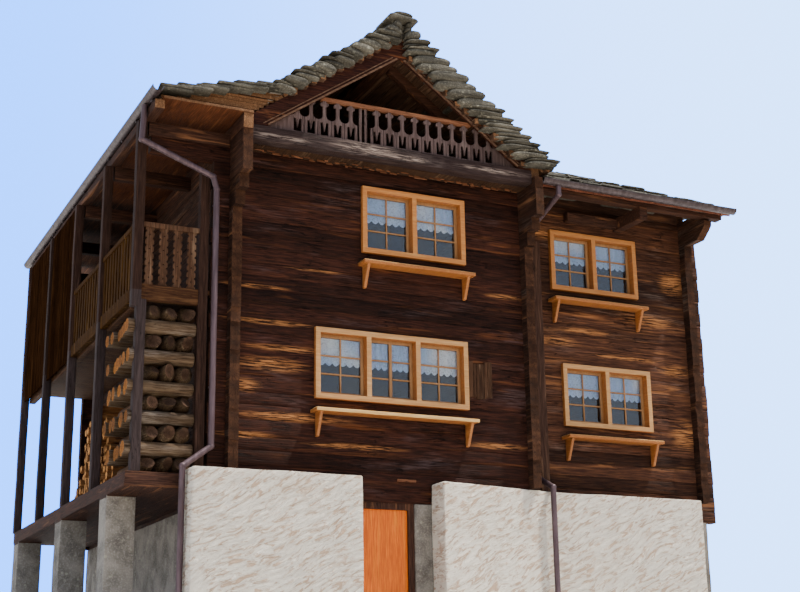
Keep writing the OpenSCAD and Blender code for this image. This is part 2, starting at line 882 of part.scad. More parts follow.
// The same log with a flat of the given depth hewn on its underside
module hewn_log(flat, length, cut) {
    translate([0, 0, -cut]) intersection() {
        firewood_log(flat, length);
        translate([-flat, 0, cut]) cube([2 * flat, length, 2 * flat]);
    }
}

heap_x0 = gallery_x + post_w + 15;
row_x0 = foot_post_x + post_w + 12;
crib_x1 = inner_post_x - 15;
heap_y = crib_depth + 60;
row_logs = 3;
crib_rows = 6;
crib_h = beam_z - 20 - deck_top;

// Cross-stacked firewood: rows that point forward with logs along the front between them, and a
// heap behind
module firewood_stack() {
    cross_h = 2 * log_flat + 2 * seat;
    row_flat = (crib_x1 - row_x0) / row_logs / 2 - seat / 2;
    cut = max(0, 2 * row_flat - (crib_h - (crib_rows - 1) * cross_h) / crib_rows);
    row_h = 2 * row_flat - cut;
    color(c_grey_wood) {
        for (k = [0 : crib_rows - 1]) translate([0, 0, deck_top + seat + k * (row_h + cross_h)]) {
            for (j = [0 : row_logs - 1])
                translate([row_x0 + (2 * j + 1) * (row_flat + seat / 2), 2, 0])
                    hewn_log(row_flat, crib_depth, cut);
            if (k < crib_rows - 1) for (j = [0 : 3])
                translate([gallery_x + 30, 245 + j * (crib_depth - 350) / 3, row_h + seat])
                    rotate([0, 0, -90]) firewood_log(log_flat, crib_x1 - gallery_x - 30);
        }
        translate([0, 0, deck_top]) along(heap_x0, crib_x1) firewood_heap();
    }
}

// Heap of round billets that lie along X, seen from their ends
module firewood_heap() {
    step = 1.9 * billet_r;
    n = floor((heap_l - billet_r) / step);
    rows = 11;
    for (row = [0 : rows]) for (k = [0 : n - 1 - row]) if (row == rows || k == 0 || k == n - 1 - row)
        translate([heap_y + billet_r + (k + row / 2) * step, billet_r + row * 0.87 * step]) circle(billet_r);
    polygon([
        [heap_y + billet_r, 0], [heap_y + billet_r + (n - 1) * step, 0],
        [heap_y + billet_r + (n - 6.2) * step, 9 * step], [heap_y + billet_r + 5.2 * step, 9 * step]
    ]);
}

// Windows

module frame_outline(w) {
    difference() {
        window_hole(w);
        lights = w[4];
        clear = (w[2] - 2 * frame_t - (lights - 1) * frame_t) / lights;
        for (k = [0 : lights - 1])
            translate([w[0] - w[2] / 2 + frame_t + k * (clear + frame_t), w[1] + frame_t])
                square([clear, w[3] - 2 * frame_t]);
    }
}

// Places what is drawn for a front window at the rear wall
module at_rear() {
    translate([0, main_depth, 0]) rotate([0, 0, 180]) children();
}

module window_frame(w) {
    translate([0, w[5], 0]) across(-frame_out, frame_in) frame_outline(w);
}

module window_frames() {
    color(c_pine) {
        for (w = front_windows) window_frame(w);
        at_rear() for (w = rear_windows) window_frame(w);
    }
}

function light_w(w) = (w[2] - (w[4] + 1) * frame_t) / w[4];
function light_x(w, k) = w[0] - w[2] / 2 + frame_t + k * (light_w(w) + frame_t);

// The middle one of three lights has two narrow casements
function leaves(w, k) = w[4] == 3 && k == 1 ? 2 : 1;

// Openings of the casements, as [x, width]
function sashes(w) = [
    for (k = [0 : w[4] - 1])
        let (n = leaves(w, k), clear = (light_w(w) - (n + 1) * stile_w) / n)
        for (j = [0 : n - 1]) [light_x(w, k) + stile_w + j * (clear + stile_w), clear]
];

module casements(w) {
    y = w[5] - frame_out + casement_in;
    across(y, y + casement_t) difference() {
        for (k = [0 : w[4] - 1])
            translate([light_x(w, k), w[1] + frame_t]) square([light_w(w), w[3] - 2 * frame_t]);
        for (p = sashes(w)) translate([p[0], w[1] + frame_t + stile_w])
            square([p[1], w[3] - 2 * frame_t - 2 * stile_w]);
    }
}

module window_casements() {
    color([0.8, 0.68, 0.5]) {
        for (w = front_windows) casements(w);
        at_rear() for (w = rear_windows) casements(w);
    }
}

module panes(w) {
    y = w[5] - frame_out + casement_in + casement_t / 2;
    across(y, y + glass_t) for (p = sashes(w)) translate([p[0], w[1] + frame_t + stile_w])
        square([p[1], w[3] - 2 * frame_t - 2 * stile_w]);
}

module window_glass() {
    color([0.55, 0.65, 0.8, 0.5]) {
        for (w = front_windows) panes(w);
        at_rear() for (w = rear_windows) panes(w);
    }
}

// Flower shelf on two shaped brackets, below a window
module shelf(w) {
    z = w[1] - 165;
    half = w[2] / 2 + 60;
    bx = half - 70;
    translate([w[0], w[5], 0]) {
        block([-half, -shelf_d, z - shelf_t], [half, 0, z]);
        for (x = [-bx, bx - 45]) along(x, x + 45) difference() {
            polygon([
                [0, z - shelf_t], [-shelf_d + 40, z - shelf_t], [-60, z - bracket_h], [0, z - bracket_h]
            ]);
            translate([-shelf_d + 20, z - bracket_h + 40]) circle(120);
        }
    }
}

module window_shelves() {
    color(c_pine) for (w = front_windows) shelf(w);
}

// Cellar door

module door_frame() {
    color(c_pine) difference() {
        union() {
            across(30, door_y + door_t) difference() {
                translate([doorway_x0, 100]) square([doorway_x1 - doorway_x0, base_h - 100]);
                translate([jamb_x0, 0]) square([jamb_x1 - jamb_x0, door_z1 + door_gap]);
            }
            across(30, door_y - 5) difference() {
                translate([doorway_x0, 100]) square([doorway_x1 - doorway_x0, base_h - 100]);
                translate([jamb_x0 + stop_w, 0])
                    square([jamb_x1 - jamb_x0 - 2 * stop_w, door_z1 + door_gap - stop_w]);
            }
            for (z = hinge_z) {
                block([hinge_x - 50, hinge_y - 12, z - 20], [hinge_x, hinge_y - 2, z - 1]);
                translate([hinge_x, hinge_y, z - 20]) cylinder(r = 11, h = 19);
                translate([hinge_x, hinge_y, z - 20]) cylinder(r = pin_r, h = eye_h + 24);
            }
        }
        for (z = hinge_z) block([hinge_x - 14, hinge_y - 40, z - 1], [jamb_x0, hinge_y - 12, z + eye_h + 1]);
    }
}

module door_leaf() {
    color(c_pine) difference() {
        union() {
            block([door_x0, door_y, door_z0], [door_x1, door_y + door_t, door_z1]);
            for (z = hinge_z) {
                block([hinge_x, hinge_y - 12, z], [hinge_x + 320, hinge_y - 6, z + eye_h]);
                translate([hinge_x, hinge_y, z]) cylinder(r = 12, h = eye_h);
            }
        }
        for (z = hinge_z) translate([hinge_x, hinge_y, z - 1]) cylinder(r = pin_r + pin_gap, h = eye_h + 2);
    }
}

// Gutters and downpipes

module gutter_outline() {
    difference() {
        circle(gutter_r);
        circle(gutter_r - gutter_t);
        translate([-gutter_r, 0]) square([2 * gutter_r, gutter_r]);
    }
}

gutter_left_x = gallery_x + 78;
gutter_left_z = plate_top + 40 + gutter_r;
gutter_wing_y = wing_eave_y - gutter_r;
gutter_wing_z = wing_under + 80;

module gutters() {
    color(c_metal) {
        across(-verge - 60, verge_back - 100) translate([gutter_left_x, gutter_left_z]) gutter_outline();
        for (k = [0 : 10]) translate([gutter_left_x, -350 + k * (verge_back - 420) / 10, plate_top])
            translate([-14, -12, 0]) cube([28, 24, 43]);
        along(main_right + 10, wing_x + wing_over) translate([gutter_wing_y, gutter_wing_z]) gutter_outline();
        for (k = [0 : 5])
            translate([main_right + 350 + k * (wing_w + 120) / 5.5, wing_eave_y - 8, gutter_wing_z - 50])
            cube([26, 8, 50]);
    }
}

// Extra radius of the elbows over the pipe
elbow_proud = 5;

// Round pipe through a list of points, with ball elbows
module pipe(points, r) {
    for (k = [0 : len(points) - 2]) {
        a = points[k];
        d = points[k + 1] - a;
        l = norm(d);
        translate(a) rotate([0, acos(d[2] / l), atan2(d[1], d[0])]) cylinder(r = r, h = l);
        if (k > 0) translate(a) sphere(r + elbow_proud);
    }
}

module downpipes() {
    left_x = -main_left - 235;
    foot_x = plinth_left_x0 - 65;
    right_x = main_right + 240;
    color(c_metal) {
        pipe([
            [gutter_left_x - 38, -130, gutter_left_z - gutter_r - seat],
            [gutter_left_x - 60, -130, plate_top - 470],
            [left_x - 55, -150, plate_top - 870], [left_x, -150, plate_top - 1050],
            [left_x, -150, plinth_top + 315], [foot_x, -220, plinth_top + 25], [foot_x, -220, 60]
        ], pipe_r);
        for (z = [base_h + 3990, base_h + 1410]) block([left_x - 10, -150, z], [left_x + 10, 0, z + 24]);
        pipe([
            [right_x + 60, gutter_wing_y, gutter_wing_z - gutter_r - seat],
            [right_x + 60, gutter_wing_y, wing_under - 140],
            [right_x, wing_back - 160, wing_under - 490], [right_x, wing_back - 140, wing_under - 740],
            [right_x, wing_back - 140, plinth_top + 245], [right_x - 10, plinth_run_y - 100, plinth_top + 55],
            [right_x - 10, plinth_run_y - 100, 60]
        ], pipe_r);
        for (z = [base_h + 3600, base_h + 1800])
            block([right_x - 10, wing_back - 140, z], [right_x + 10, wing_back, z + 24]);
    }
}

threshold_stone();
plinth_wall_left();
plinth_wall_right();
basement_side_walls();
basement_cross_walls();
basement_floor();
front_wall();
left_wall();
right_wall();
rear_wall();
wing_front_wall();
wing_right_wall();
wing_rear_wall();
wing_corner_board();
storey_floors();
loft_floor();
loft_beam();
loft_balustrade();
rake_boards();
rafters();
main_purlins();
wing_purlins();
roof_left();
roof_right();
ridge_slabs();
gallery_roof();
wing_roof();
gallery_soffit();
gallery_floor();
gallery_posts();
gallery_plate();
gallery_consoles();
gallery_front_balustrade();
gallery_side_balustrade();
gallery_boarding();
lower_deck();
firewood_stack();
window_frames();
window_casements();
window_glass();
window_shelves();
door_frame();
door_leaf();
gutters();
downpipes();
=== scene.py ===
"""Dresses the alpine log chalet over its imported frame.

The house stands with its main facade in the plane Y = 0, its ridge over X = 0 and its ground at Z = 0.
All lengths are metres.
"""
import logging
import math
import random
from dataclasses import dataclass, field, replace
from enum import Enum
from typing import Callable, Optional, Sequence

import bmesh
import bpy
from mathutils import Matrix, Vector, noise


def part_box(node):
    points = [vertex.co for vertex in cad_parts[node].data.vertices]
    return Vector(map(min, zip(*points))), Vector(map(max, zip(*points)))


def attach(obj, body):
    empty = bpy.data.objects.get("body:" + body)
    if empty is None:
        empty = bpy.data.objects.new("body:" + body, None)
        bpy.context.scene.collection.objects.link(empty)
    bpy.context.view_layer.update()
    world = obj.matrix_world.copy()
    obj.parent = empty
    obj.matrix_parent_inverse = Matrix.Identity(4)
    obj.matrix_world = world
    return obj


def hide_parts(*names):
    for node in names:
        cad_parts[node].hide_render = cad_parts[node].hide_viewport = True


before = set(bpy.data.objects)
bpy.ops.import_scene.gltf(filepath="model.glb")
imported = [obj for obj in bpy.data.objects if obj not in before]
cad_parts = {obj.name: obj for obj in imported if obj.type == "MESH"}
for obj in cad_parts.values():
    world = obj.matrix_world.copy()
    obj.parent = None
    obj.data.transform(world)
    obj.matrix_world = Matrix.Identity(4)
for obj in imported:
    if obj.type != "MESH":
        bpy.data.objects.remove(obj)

LOG = logging.getLogger("chalet")
RGB = tuple[float, float, float]
Point = tuple[float, float, float]
Patch = tuple[float, float, float, float]
Socket = bpy.types.NodeSocket
Face = bmesh.types.BMFace
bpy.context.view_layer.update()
# Numbers of the Mix node's colour inputs and of its colour output
MIX_COLOURS, MIX_RESULT = (6, 7), 2


class Dice(random.Random):
    """Seeded source of the unevenness."""

    def of(self, low: float, high: float) -> float:
        """Random value from low to high."""
        return self.uniform(low, high)

    def near(self, spread: float) -> float:
        """Random shift of up to spread either way."""
        return self.uniform(-spread, spread)


class Along(Enum):
    """Direction in which the fibres of a timber run."""

    X = (1.0, 0.0, 0.0)
    Y = (0.0, 1.0, 0.0)
    Z = (0.0, 0.0, 1.0)

    def stretch(self, fine: float, long: float) -> RGB:
        """Scale of a texture that is fine across the fibres and long along them."""
        return tuple(long if part else fine for part in self.value)


# Shader building

class Graph:
    """Small helper that adds and joins shader nodes in one tree."""

    def __init__(self, tree: bpy.types.NodeTree) -> None:
        """Keeps the tree that the nodes go into."""
        self.tree = tree

    def set(self, node: bpy.types.Node, inputs: dict) -> None:
        """Links or sets inputs of a node.

        Args:
            node: The node.
            inputs: Sockets or plain values for its inputs, by name or number.
        """
        for key, value in inputs.items():
            if isinstance(value, Socket):
                self.tree.links.new(value, node.inputs[key])
            else:
                node.inputs[key].default_value = value

    def add(self, kind: str, inputs: Optional[dict] = None, **settings: object) -> bpy.types.Node:
        """Adds one node.

        Args:
            kind: Name of the node type, without its ShaderNode prefix.
            inputs: Sockets or plain values for its inputs, by name or number.
            settings: Properties of the node.

        Returns:
            The new node.
        """
        node = self.tree.nodes.new("ShaderNode" + kind)
        for key, value in settings.items():
            setattr(node, key, value)
        self.set(node, inputs or {})
        return node

    def math(self, operation: str, a: object, b: object = 0.0, clamp: bool = False) -> Socket:
        """Result of one scalar operation."""
        return self.add("Math", {0: a, 1: b}, operation=operation, use_clamp=clamp).outputs[0]

    def times(self, a: object, b: object) -> Socket:
        """Product of two values."""
        return self.math("MULTIPLY", a, b)

    def plus(self, a: object, b: object) -> Socket:
        """Sum of two values."""
        return self.math("ADD", a, b)

    def rest(self, value: object) -> Socket:
        """One minus a value, which turns a mask over."""
        return self.math("SUBTRACT", 1.0, value)

    def off_centre(self, value: object) -> Socket:
        """Distance of a noise value from its mean of one half."""
        return self.math("ABSOLUTE", self.math("SUBTRACT", value, 0.5))

    def vector(self, operation: str, a: object, b: object = (0.0, 0.0, 0.0)) -> Socket:
        """Result of one vector operation."""
        node = self.add("VectorMath", {0: a, 1: b}, operation=operation)
        return node.outputs["Value" if operation in ("DOT_PRODUCT", "LENGTH") else "Vector"]

    def scaled(self, a: object, b: object) -> Socket:
        """Product of two vectors, part by part."""
        return self.vector("MULTIPLY", a, b)

    def noise(self, vector: object, scale: float, detail: float = 4.0, rough: float = 0.55,
              distortion: float = 0.0) -> Socket:
        """Fractal noise from 0 to 1."""
        return self.add("TexNoise", {"Vector": vector, "Scale": scale, "Detail": detail, "Roughness": rough,
                                     "Distortion": distortion}).outputs["Fac"]

    def span(self, value: object, low: float, high: float) -> Socket:
        """Smooth step that is 0 below low and 1 above high."""
        return self.add("MapRange", {"Value": value, "From Min": low, "From Max": high},
                        interpolation_type="SMOOTHSTEP").outputs["Result"]

    def between(self, value: object, low: float, high: float, start: float = 0.0) -> Socket:
        """Straight step from low to high, for a value from start to 1."""
        inputs = {"Value": value, "From Min": start, "To Min": low, "To Max": high}
        return self.add("MapRange", inputs).outputs["Result"]

    def mix(self, fac: object, a: object, b: object, blend: str = "MIX") -> Socket:
        """Mixes two colours.

        Args:
            fac: Share of the second colour.
            a: First colour, a socket or three values.
            b: Second colour, a socket or three values.
            blend: Blender's blend type.

        Returns:
            The mixed colour.
        """
        inputs = {slot: value if isinstance(value, Socket) else (*value, 1.0)
                  for slot, value in zip(MIX_COLOURS, (a, b))}
        node = self.add("Mix", {"Factor": fac, **inputs}, data_type="RGBA", blend_type=blend, clamp_factor=True)
        return node.outputs[MIX_RESULT]

    def tone(self) -> Socket:
        """Tone of each log, board or stone, from the point attribute named tone."""
        return self.add("Attribute", attribute_name="tone").outputs["Fac"]

    def toned(self, colour: object, factor: object) -> Socket:
        """Colour made brighter or darker by a factor."""
        gain = self.add("CombineColor", {0: factor, 1: factor, 2: factor}).outputs[0]
        return self.mix(1.0, colour, gain, "MULTIPLY")


def new_group(name: str, inputs: Sequence[tuple[str, Optional[Point]]], outputs: Sequence[str],
              fill: Callable[[Graph, dict], dict]) -> bpy.types.NodeTree:
    """Makes a shader node group.

    Args:
        name: Name of the group.
        inputs: Name and first value of each input, all of them vectors.
        outputs: Name of each output, all of them values.
        fill: Builds the inside from the input sockets and returns the output sockets by name.

    Returns:
        The node group.
    """
    tree = bpy.data.node_groups.new(name, "ShaderNodeTree")
    for label, value in inputs:
        socket = tree.interface.new_socket(label, in_out="INPUT", socket_type="NodeSocketVector")
        if value is not None:
            socket.default_value = value
    for label in outputs:
        tree.interface.new_socket(label, in_out="OUTPUT", socket_type="NodeSocketFloat")
    entry, leave = tree.nodes.new("NodeGroupInput"), tree.nodes.new("NodeGroupOutput")
    graph = Graph(tree)
    graph.set(leave, fill(graph, {socket.name: socket for socket in entry.outputs}))
    return tree


def fill_grain(g: Graph, i: dict) -> dict:
    """Fibres, stains and drying cracks of sawn or hewn timber.

    Args:
        g: The group's graph.
        i: Its inputs by name.

    Returns:
        Its outputs by name.
    """
    place = g.vector("ADD", i["Vector"], g.scaled((3.1, 7.7, 5.3), i["Seed"]))
    stretched = g.scaled(place, i["Stretch"])
    fibre = g.noise(stretched, 7.0, 8.0, 0.62, 0.3)
    band = g.noise(stretched, 1.6, 4.0, 0.55, 0.6)
    line = g.off_centre(g.noise(stretched, 2.6, 3.0, 0.5, 0.9))
    crack = g.rest(g.span(line, 0.0, 0.018))
    crack = g.times(crack, g.span(g.noise(place, 1.9, 2.0), 0.46, 0.6))
    stain = g.span(g.noise(g.scaled(stretched, (0.22, 0.22, 0.22)), 1.7, 5.0, 0.6, 0.8), 0.32, 0.68)
    streak = g.span(g.noise(g.scaled(stretched, (0.5, 0.5, 0.5)), 2.3, 6.0, 0.7, 1.2), 0.56, 0.7)
    height = g.math("SUBTRACT", g.plus(fibre, g.times(band, 0.6)), g.times(crack, 1.4))
    return {"Fibre": fibre, "Band": band, "Crack": crack, "Stain": stain, "Streak": streak, "Height": height}


def fill_speckle(g: Graph, i: dict) -> dict:
    """Cloudy body, lichen spots and pitted surface of weathered stone.

    Args:
        g: The group's graph.
        i: Its inputs by name.

    Returns:
        Its outputs by name.
    """
    place = g.vector("ADD", i["Vector"], g.scaled((9.0, 5.0, 7.0), i["Seed"]))
    cloud = g.noise(place, 3.0, 6.0, 0.6, 0.4)
    grit = g.noise(place, 38.0, 5.0, 0.7)
    cells = g.add("TexVoronoi", {"Vector": place, "Scale": 11.0, "Randomness": 1.0}).outputs["Distance"]
    lichen = g.times(g.rest(g.span(cells, 0.12, 0.34)), g.span(g.noise(place, 4.3, 4.0), 0.5, 0.62))
    layer = g.noise(g.scaled(place, (1.0, 1.0, 16.0)), 3.2, 6.0, 0.7, 0.5)
    height = g.plus(g.times(grit, 0.4), g.times(g.noise(place, 9.0, 4.0), 0.7))
    return {"Cloud": cloud, "Grit": grit, "Lichen": lichen, "Layer": layer, "Height": height}


def fill_trowel(g: Graph, i: dict) -> dict:
    """Slanting trowel strokes of rough lime plaster.

    Args:
        g: The group's graph.
        i: Its inputs by name.

    Returns:
        Its outputs by name.
    """
    turned = g.add("VectorRotate", {"Vector": i["Vector"], "Axis": (0.0, 1.0, 0.0), "Angle": math.radians(27)},
                   rotation_type="AXIS_ANGLE").outputs["Vector"]
    cloud = g.add("TexNoise", {"Vector": i["Vector"], "Scale": 1.1, "Detail": 2.0}).outputs["Color"]
    bent = g.vector("ADD", turned, g.scaled((0.3, 0.3, 0.3), cloud))
    stroke = g.noise(g.scaled(bent, (3.0, 3.0, 13.0)), 1.6, 5.0, 0.66, 0.8)
    ridge = g.times(g.span(stroke, 0.49, 0.60), g.span(g.noise(i["Vector"], 3.1, 3.0), 0.28, 0.46))
    grain = g.noise(i["Vector"], 46.0, 4.0, 0.7)
    return {"Ridge": ridge, "Height": g.plus(g.times(stroke, 1.6), g.times(grain, 0.4))}


def fill_rundown(g: Graph, i: dict) -> dict:
    """Dull patches and downward streaks on sheet metal.

    Args:
        g: The group's graph.
        i: Its inputs by name.

    Returns:
        Its outputs by name.
    """
    streak = g.noise(g.scaled(i["Vector"], (9.0, 9.0, 1.2)), 2.0, 5.0, 0.6)
    patch = g.noise(i["Vector"], 4.0, 5.0, 0.6, 0.4)
    fine = g.noise(i["Vector"], 60.0, 3.0, 0.6)
    return {"Streak": streak, "Patch": patch, "Fine": fine}


class Effects:
    """The shared shader groups, each made once."""

    def __init__(self) -> None:
        """Builds every group."""
        vector, seed = ("Vector", None), ("Seed", (0.0, 0.0, 0.0))
        self.grain = new_group("TimberGrain", (vector, ("Stretch", (1.0, 1.0, 1.0)), seed),
                               ("Fibre", "Band", "Crack", "Stain", "Streak", "Height"), fill_grain)
        self.speckle = new_group("StoneSpeckle", (vector, seed), ("Cloud", "Grit", "Lichen", "Layer", "Height"),
                                 fill_speckle)
        self.trowel = new_group("TrowelStrokes", (vector,), ("Ridge", "Height"), fill_trowel)
        self.rundown = new_group("RunDown", (vector,), ("Streak", "Patch", "Fine"), fill_rundown)


EFFECTS = Effects()


def start_material(name: str) -> tuple[bpy.types.Material, Graph, bpy.types.Node, Socket]:
    """Starts a material with its Principled shader and object coordinates.

    Args:
        name: Name of the material.

    Returns:
        The material, its graph, the shader and the coordinate socket.
    """
    material = bpy.data.materials.new(name)
    material.use_nodes = True
    material.node_tree.nodes.clear()
    graph = Graph(material.node_tree)
    shader = graph.add("BsdfPrincipled")
    graph.add("OutputMaterial", {0: shader.outputs[0]})
    return material, graph, shader, graph.add("TexCoord").outputs["Object"]


def add_bump(graph: Graph, shader: bpy.types.Node, height: object, strength: float, distance: float) -> None:
    """Feeds a height into the shader's normal through a Bump node.

    Args:
        graph: The material's graph.
        shader: Its Principled shader.
        height: The height.
        strength: Strength of the relief from 0 to 1.
        distance: Its depth in metres.
    """
    bump = graph.add("Bump", {"Height": height, "Strength": strength, "Distance": distance})
    graph.set(shader, {"Normal": bump.outputs[0]})


@dataclass(frozen=True)
class TimberFinish:
    """Weathered or varnished timber, toned log by log through the point attribute named tone."""

    name: str
    dark: RGB
    body: RGB
    light: RGB
    along: Along = Along.X
    tone: float = 0.3
    cracks: float = 0.9
    stain: float = 0.6
    streaks: float = 0.25
    grey: float = 0.0
    grey_rgb: RGB = (0.30, 0.26, 0.23)
    # Patches listed here take a paler colour; on the facade they are painted sunlight.
    worn: tuple[Patch, ...] = ()
    patch_rgb: RGB = (0.42, 0.17, 0.055)
    rough: float = 0.75
    gloss: float = 0.0
    bump: float = 0.6
    seed: float = 0.0
    fine: float = 9.0
    shine: float = 0.08

    def patches(self, g: Graph, place: Socket) -> Socket:
        """Mask of the listed patches.

        Args:
            g: The material's graph.
            place: Coordinates of the surface.

        Returns:
            The mask, 1 in the middle of each patch.
        """
        total: object = 0.0
        for x, z, half_x, half_z in self.worn:
            away = g.vector("DIVIDE", g.vector("SUBTRACT", place, (x, 0.0, z)), (half_x, 1e6, half_z))
            total = g.plus(total, g.rest(g.span(g.vector("LENGTH", away), 0.2, 1.1)))
        return total

    def material(self) -> bpy.types.Material:
        """Builds the timber material.

        Returns:
            The material.
        """
        material, g, shader, place = start_material(self.name)
        grain = g.add("Group", {"Vector": place, "Stretch": self.along.stretch(self.fine, self.fine * 0.06),
                                "Seed": (self.seed,) * 3}, node_tree=EFFECTS.grain).outputs
        fibre = grain["Fibre"]
        colour = g.mix(g.span(fibre, 0.34, 0.74), self.dark, self.body)
        colour = g.mix(g.times(grain["Stain"], self.stain * 0.6), colour, self.dark)
        colour = g.mix(g.times(g.span(grain["Band"], 0.56, 0.76), self.stain), colour, self.light)
        colour = g.mix(g.times(grain["Streak"], self.streaks), colour, self.light)
        colour = g.toned(colour, g.plus(1.0, g.times(g.tone(), self.tone)))
        if self.grey:
            patch = g.span(g.noise(g.scaled(place, self.along.stretch(2.6, 0.5)), 1.4, 5.0, 0.6), 0.52, 0.7)
            patch = g.times(patch, g.span(fibre, 0.4, 0.62))
            colour = g.mix(g.times(patch, self.grey), colour, self.grey_rgb)
        # The listed patches take a paler colour; on the facade this is painted sunlight.
        if self.worn:
            mask = g.math("MULTIPLY", self.patches(g, place), g.span(fibre, 0.42, 0.6), True)
            colour = g.mix(g.times(mask, 0.85), colour, self.patch_rgb)
        colour = g.mix(g.times(grain["Crack"], self.cracks), colour, tuple(c * 0.25 for c in self.dark))
        g.set(shader, {"Base Color": colour, "Roughness": g.between(fibre, self.rough - 0.12, self.rough + 0.12),
                       "Coat Weight": self.gloss, "Coat Roughness": 0.25, "Specular IOR Level": self.shine})
        add_bump(g, shader, grain["Height"], self.bump, 0.012)
        return material


@dataclass(frozen=True)
class EndGrainFinish:
    """Growth rings and drying splits on the cut end of a log, round the point attribute named heart."""

    name: str
    dark: RGB
    light: RGB
    ring: float = 0.011
    bump: float = 0.5

    def material(self) -> bpy.types.Material:
        """Builds the end grain material.

        Returns:
            The material.
        """
        material, g, shader, place = start_material(self.name)
        heart = g.add("Attribute", attribute_name="heart").outputs["Vector"]
        away = g.vector("SUBTRACT", place, heart)
        far = g.vector("LENGTH", away)
        rough = g.noise(place, 9.0, 3.0)
        turns = g.plus(g.math("DIVIDE", far, self.ring), g.times(rough, 2.5))
        rings = g.plus(0.5, g.times(g.math("SINE", g.times(turns, 6.2832)), 0.5))
        rings = g.times(rings, g.span(g.noise(place, 30.0, 3.0), 0.3, 0.7))
        ray = g.noise(g.vector("NORMALIZE", away), 3.2, 2.0)
        split = g.rest(g.span(g.off_centre(ray), 0.0, 0.022))
        split = g.times(split, g.span(far, 0.012, 0.03))
        core = g.rest(g.span(far, 0.02, 0.09))
        colour = g.mix(g.times(rings, 0.8), self.light, self.dark)
        colour = g.mix(g.times(core, 0.45), colour, self.dark)
        colour = g.mix(g.times(g.span(g.noise(place, 4.0, 4.0), 0.5, 0.75), 0.5), colour, self.dark)
        colour = g.toned(colour, g.plus(1.0, g.times(g.tone(), 0.3)))
        colour = g.mix(split, colour, tuple(c * 0.2 for c in self.dark))
        g.set(shader, {"Base Color": colour, "Roughness": g.plus(0.72, g.times(rough, 0.2)),
                       "Specular IOR Level": 0.08})
        height = g.math("SUBTRACT", g.times(rings, 0.4), g.times(split, 1.5))
        add_bump(g, shader, height, self.bump, 0.006)
        return material


@dataclass(frozen=True)
class StoneFinish:
    """Rough natural stone."""

    name: str
    dark: RGB
    body: RGB
    light: RGB
    lichen: RGB = (0.34, 0.32, 0.24)
    layers: float = 0.0
    bump: float = 0.8
    seed: float = 0.0

    def material(self) -> bpy.types.Material:
        """Builds the stone material.

        Returns:
            The material.
        """
        material, g, shader, place = start_material(self.name)
        rock = g.add("Group", {"Vector": place, "Seed": (self.seed,) * 3}, node_tree=EFFECTS.speckle).outputs
        colour = g.mix(g.span(rock["Cloud"], 0.3, 0.7), self.dark, self.body)
        colour = g.mix(g.times(g.span(rock["Grit"], 0.45, 0.75), 0.5), colour, self.light)
        colour = g.mix(g.times(rock["Lichen"], 0.6), colour, self.lichen)
        seam = g.rest(g.span(rock["Layer"], 0.34, 0.46))
        colour = g.mix(g.times(seam, self.layers), colour, self.dark)
        colour = g.toned(colour, g.between(g.tone(), 0.68, 1.34, -1.0))
        g.set(shader, {"Base Color": colour, "Roughness": g.between(rock["Grit"], 0.7, 0.98),
                       "Specular IOR Level": 0.15})
        height = g.plus(rock["Height"], g.times(rock["Layer"], self.layers * 1.6))
        add_bump(g, shader, height, self.bump, 0.02)
        return material


@dataclass(frozen=True)
class PlasterFinish:
    """White trowelled lime plaster, with painted shade along its trowel ridges."""

    name: str
    body: RGB
    # Colour of the trowel ridges: painted shade of their relief.
    ridge: RGB
    dirt: RGB
    dirty: float = 0.3
    bump: float = 1.0

    def material(self) -> bpy.types.Material:
        """Builds the plaster material.

        Returns:
            The material.
        """
        material, g, shader, place = start_material(self.name)
        coat = g.add("Group", {"Vector": place}, node_tree=EFFECTS.trowel).outputs
        # The darker colour along the trowel ridges is painted shade of the strokes' relief, on top of the bump.
        colour = g.mix(g.times(coat["Ridge"], 0.9), self.body, self.ridge)
        spots = g.span(g.noise(place, 1.3, 6.0, 0.65, 0.5), 0.5, 0.72)
        g.set(shader, {"Base Color": g.mix(g.times(spots, self.dirty), colour, self.dirt), "Roughness": 0.92,
                       "Specular IOR Level": 0.2})
        add_bump(g, shader, coat["Height"], self.bump, 0.11)
        return material


@dataclass(frozen=True)
class MetalFinish:
    """Dull painted or oxidised sheet metal."""

    name: str
    body: RGB
    dull: RGB
    rough: float = 0.45
    metal: float = 0.5

    def material(self) -> bpy.types.Material:
        """Builds the sheet metal material.

        Returns:
            The material.
        """
        material, g, shader, place = start_material(self.name)
        wear = g.add("Group", {"Vector": place}, node_tree=EFFECTS.rundown).outputs
        colour = g.mix(g.span(wear["Streak"], 0.35, 0.7), self.body, self.dull)
        colour = g.mix(g.times(g.span(wear["Patch"], 0.5, 0.7), 0.4), colour, self.body)
        g.set(shader, {"Base Color": colour, "Metallic": self.metal,
                       "Roughness": g.between(wear["Patch"], self.rough - 0.12, self.rough + 0.15)})
        add_bump(g, shader, wear["Fine"], 0.15, 0.004)
        return material


@dataclass(frozen=True)
class GlassFinish:
    """Old window glass, with painted blue patches of sky reflection in its colour."""

    name: str
    clear: RGB = (0.86, 0.92, 1.0)
    tint: RGB = (0.62, 0.76, 1.0)
    index: float = 1.5

    def material(self) -> bpy.types.Material:
        """Builds the glass material.

        Returns:
            The material.
        """
        material, g, shader, place = start_material(self.name)
        # Blue patches in the glass colour: a painted reflection of the sky.
        painted_sky_mask = g.span(g.noise(place, 0.9, 2.0), 0.40, 0.56)
        g.set(shader, {"Base Color": g.mix(painted_sky_mask, self.clear, self.tint), "Roughness": 0.02,
                       "Transmission Weight": 1.0, "IOR": self.index})
        add_bump(g, shader, g.noise(place, 3.0, 2.0), 0.08, 0.01)
        return material


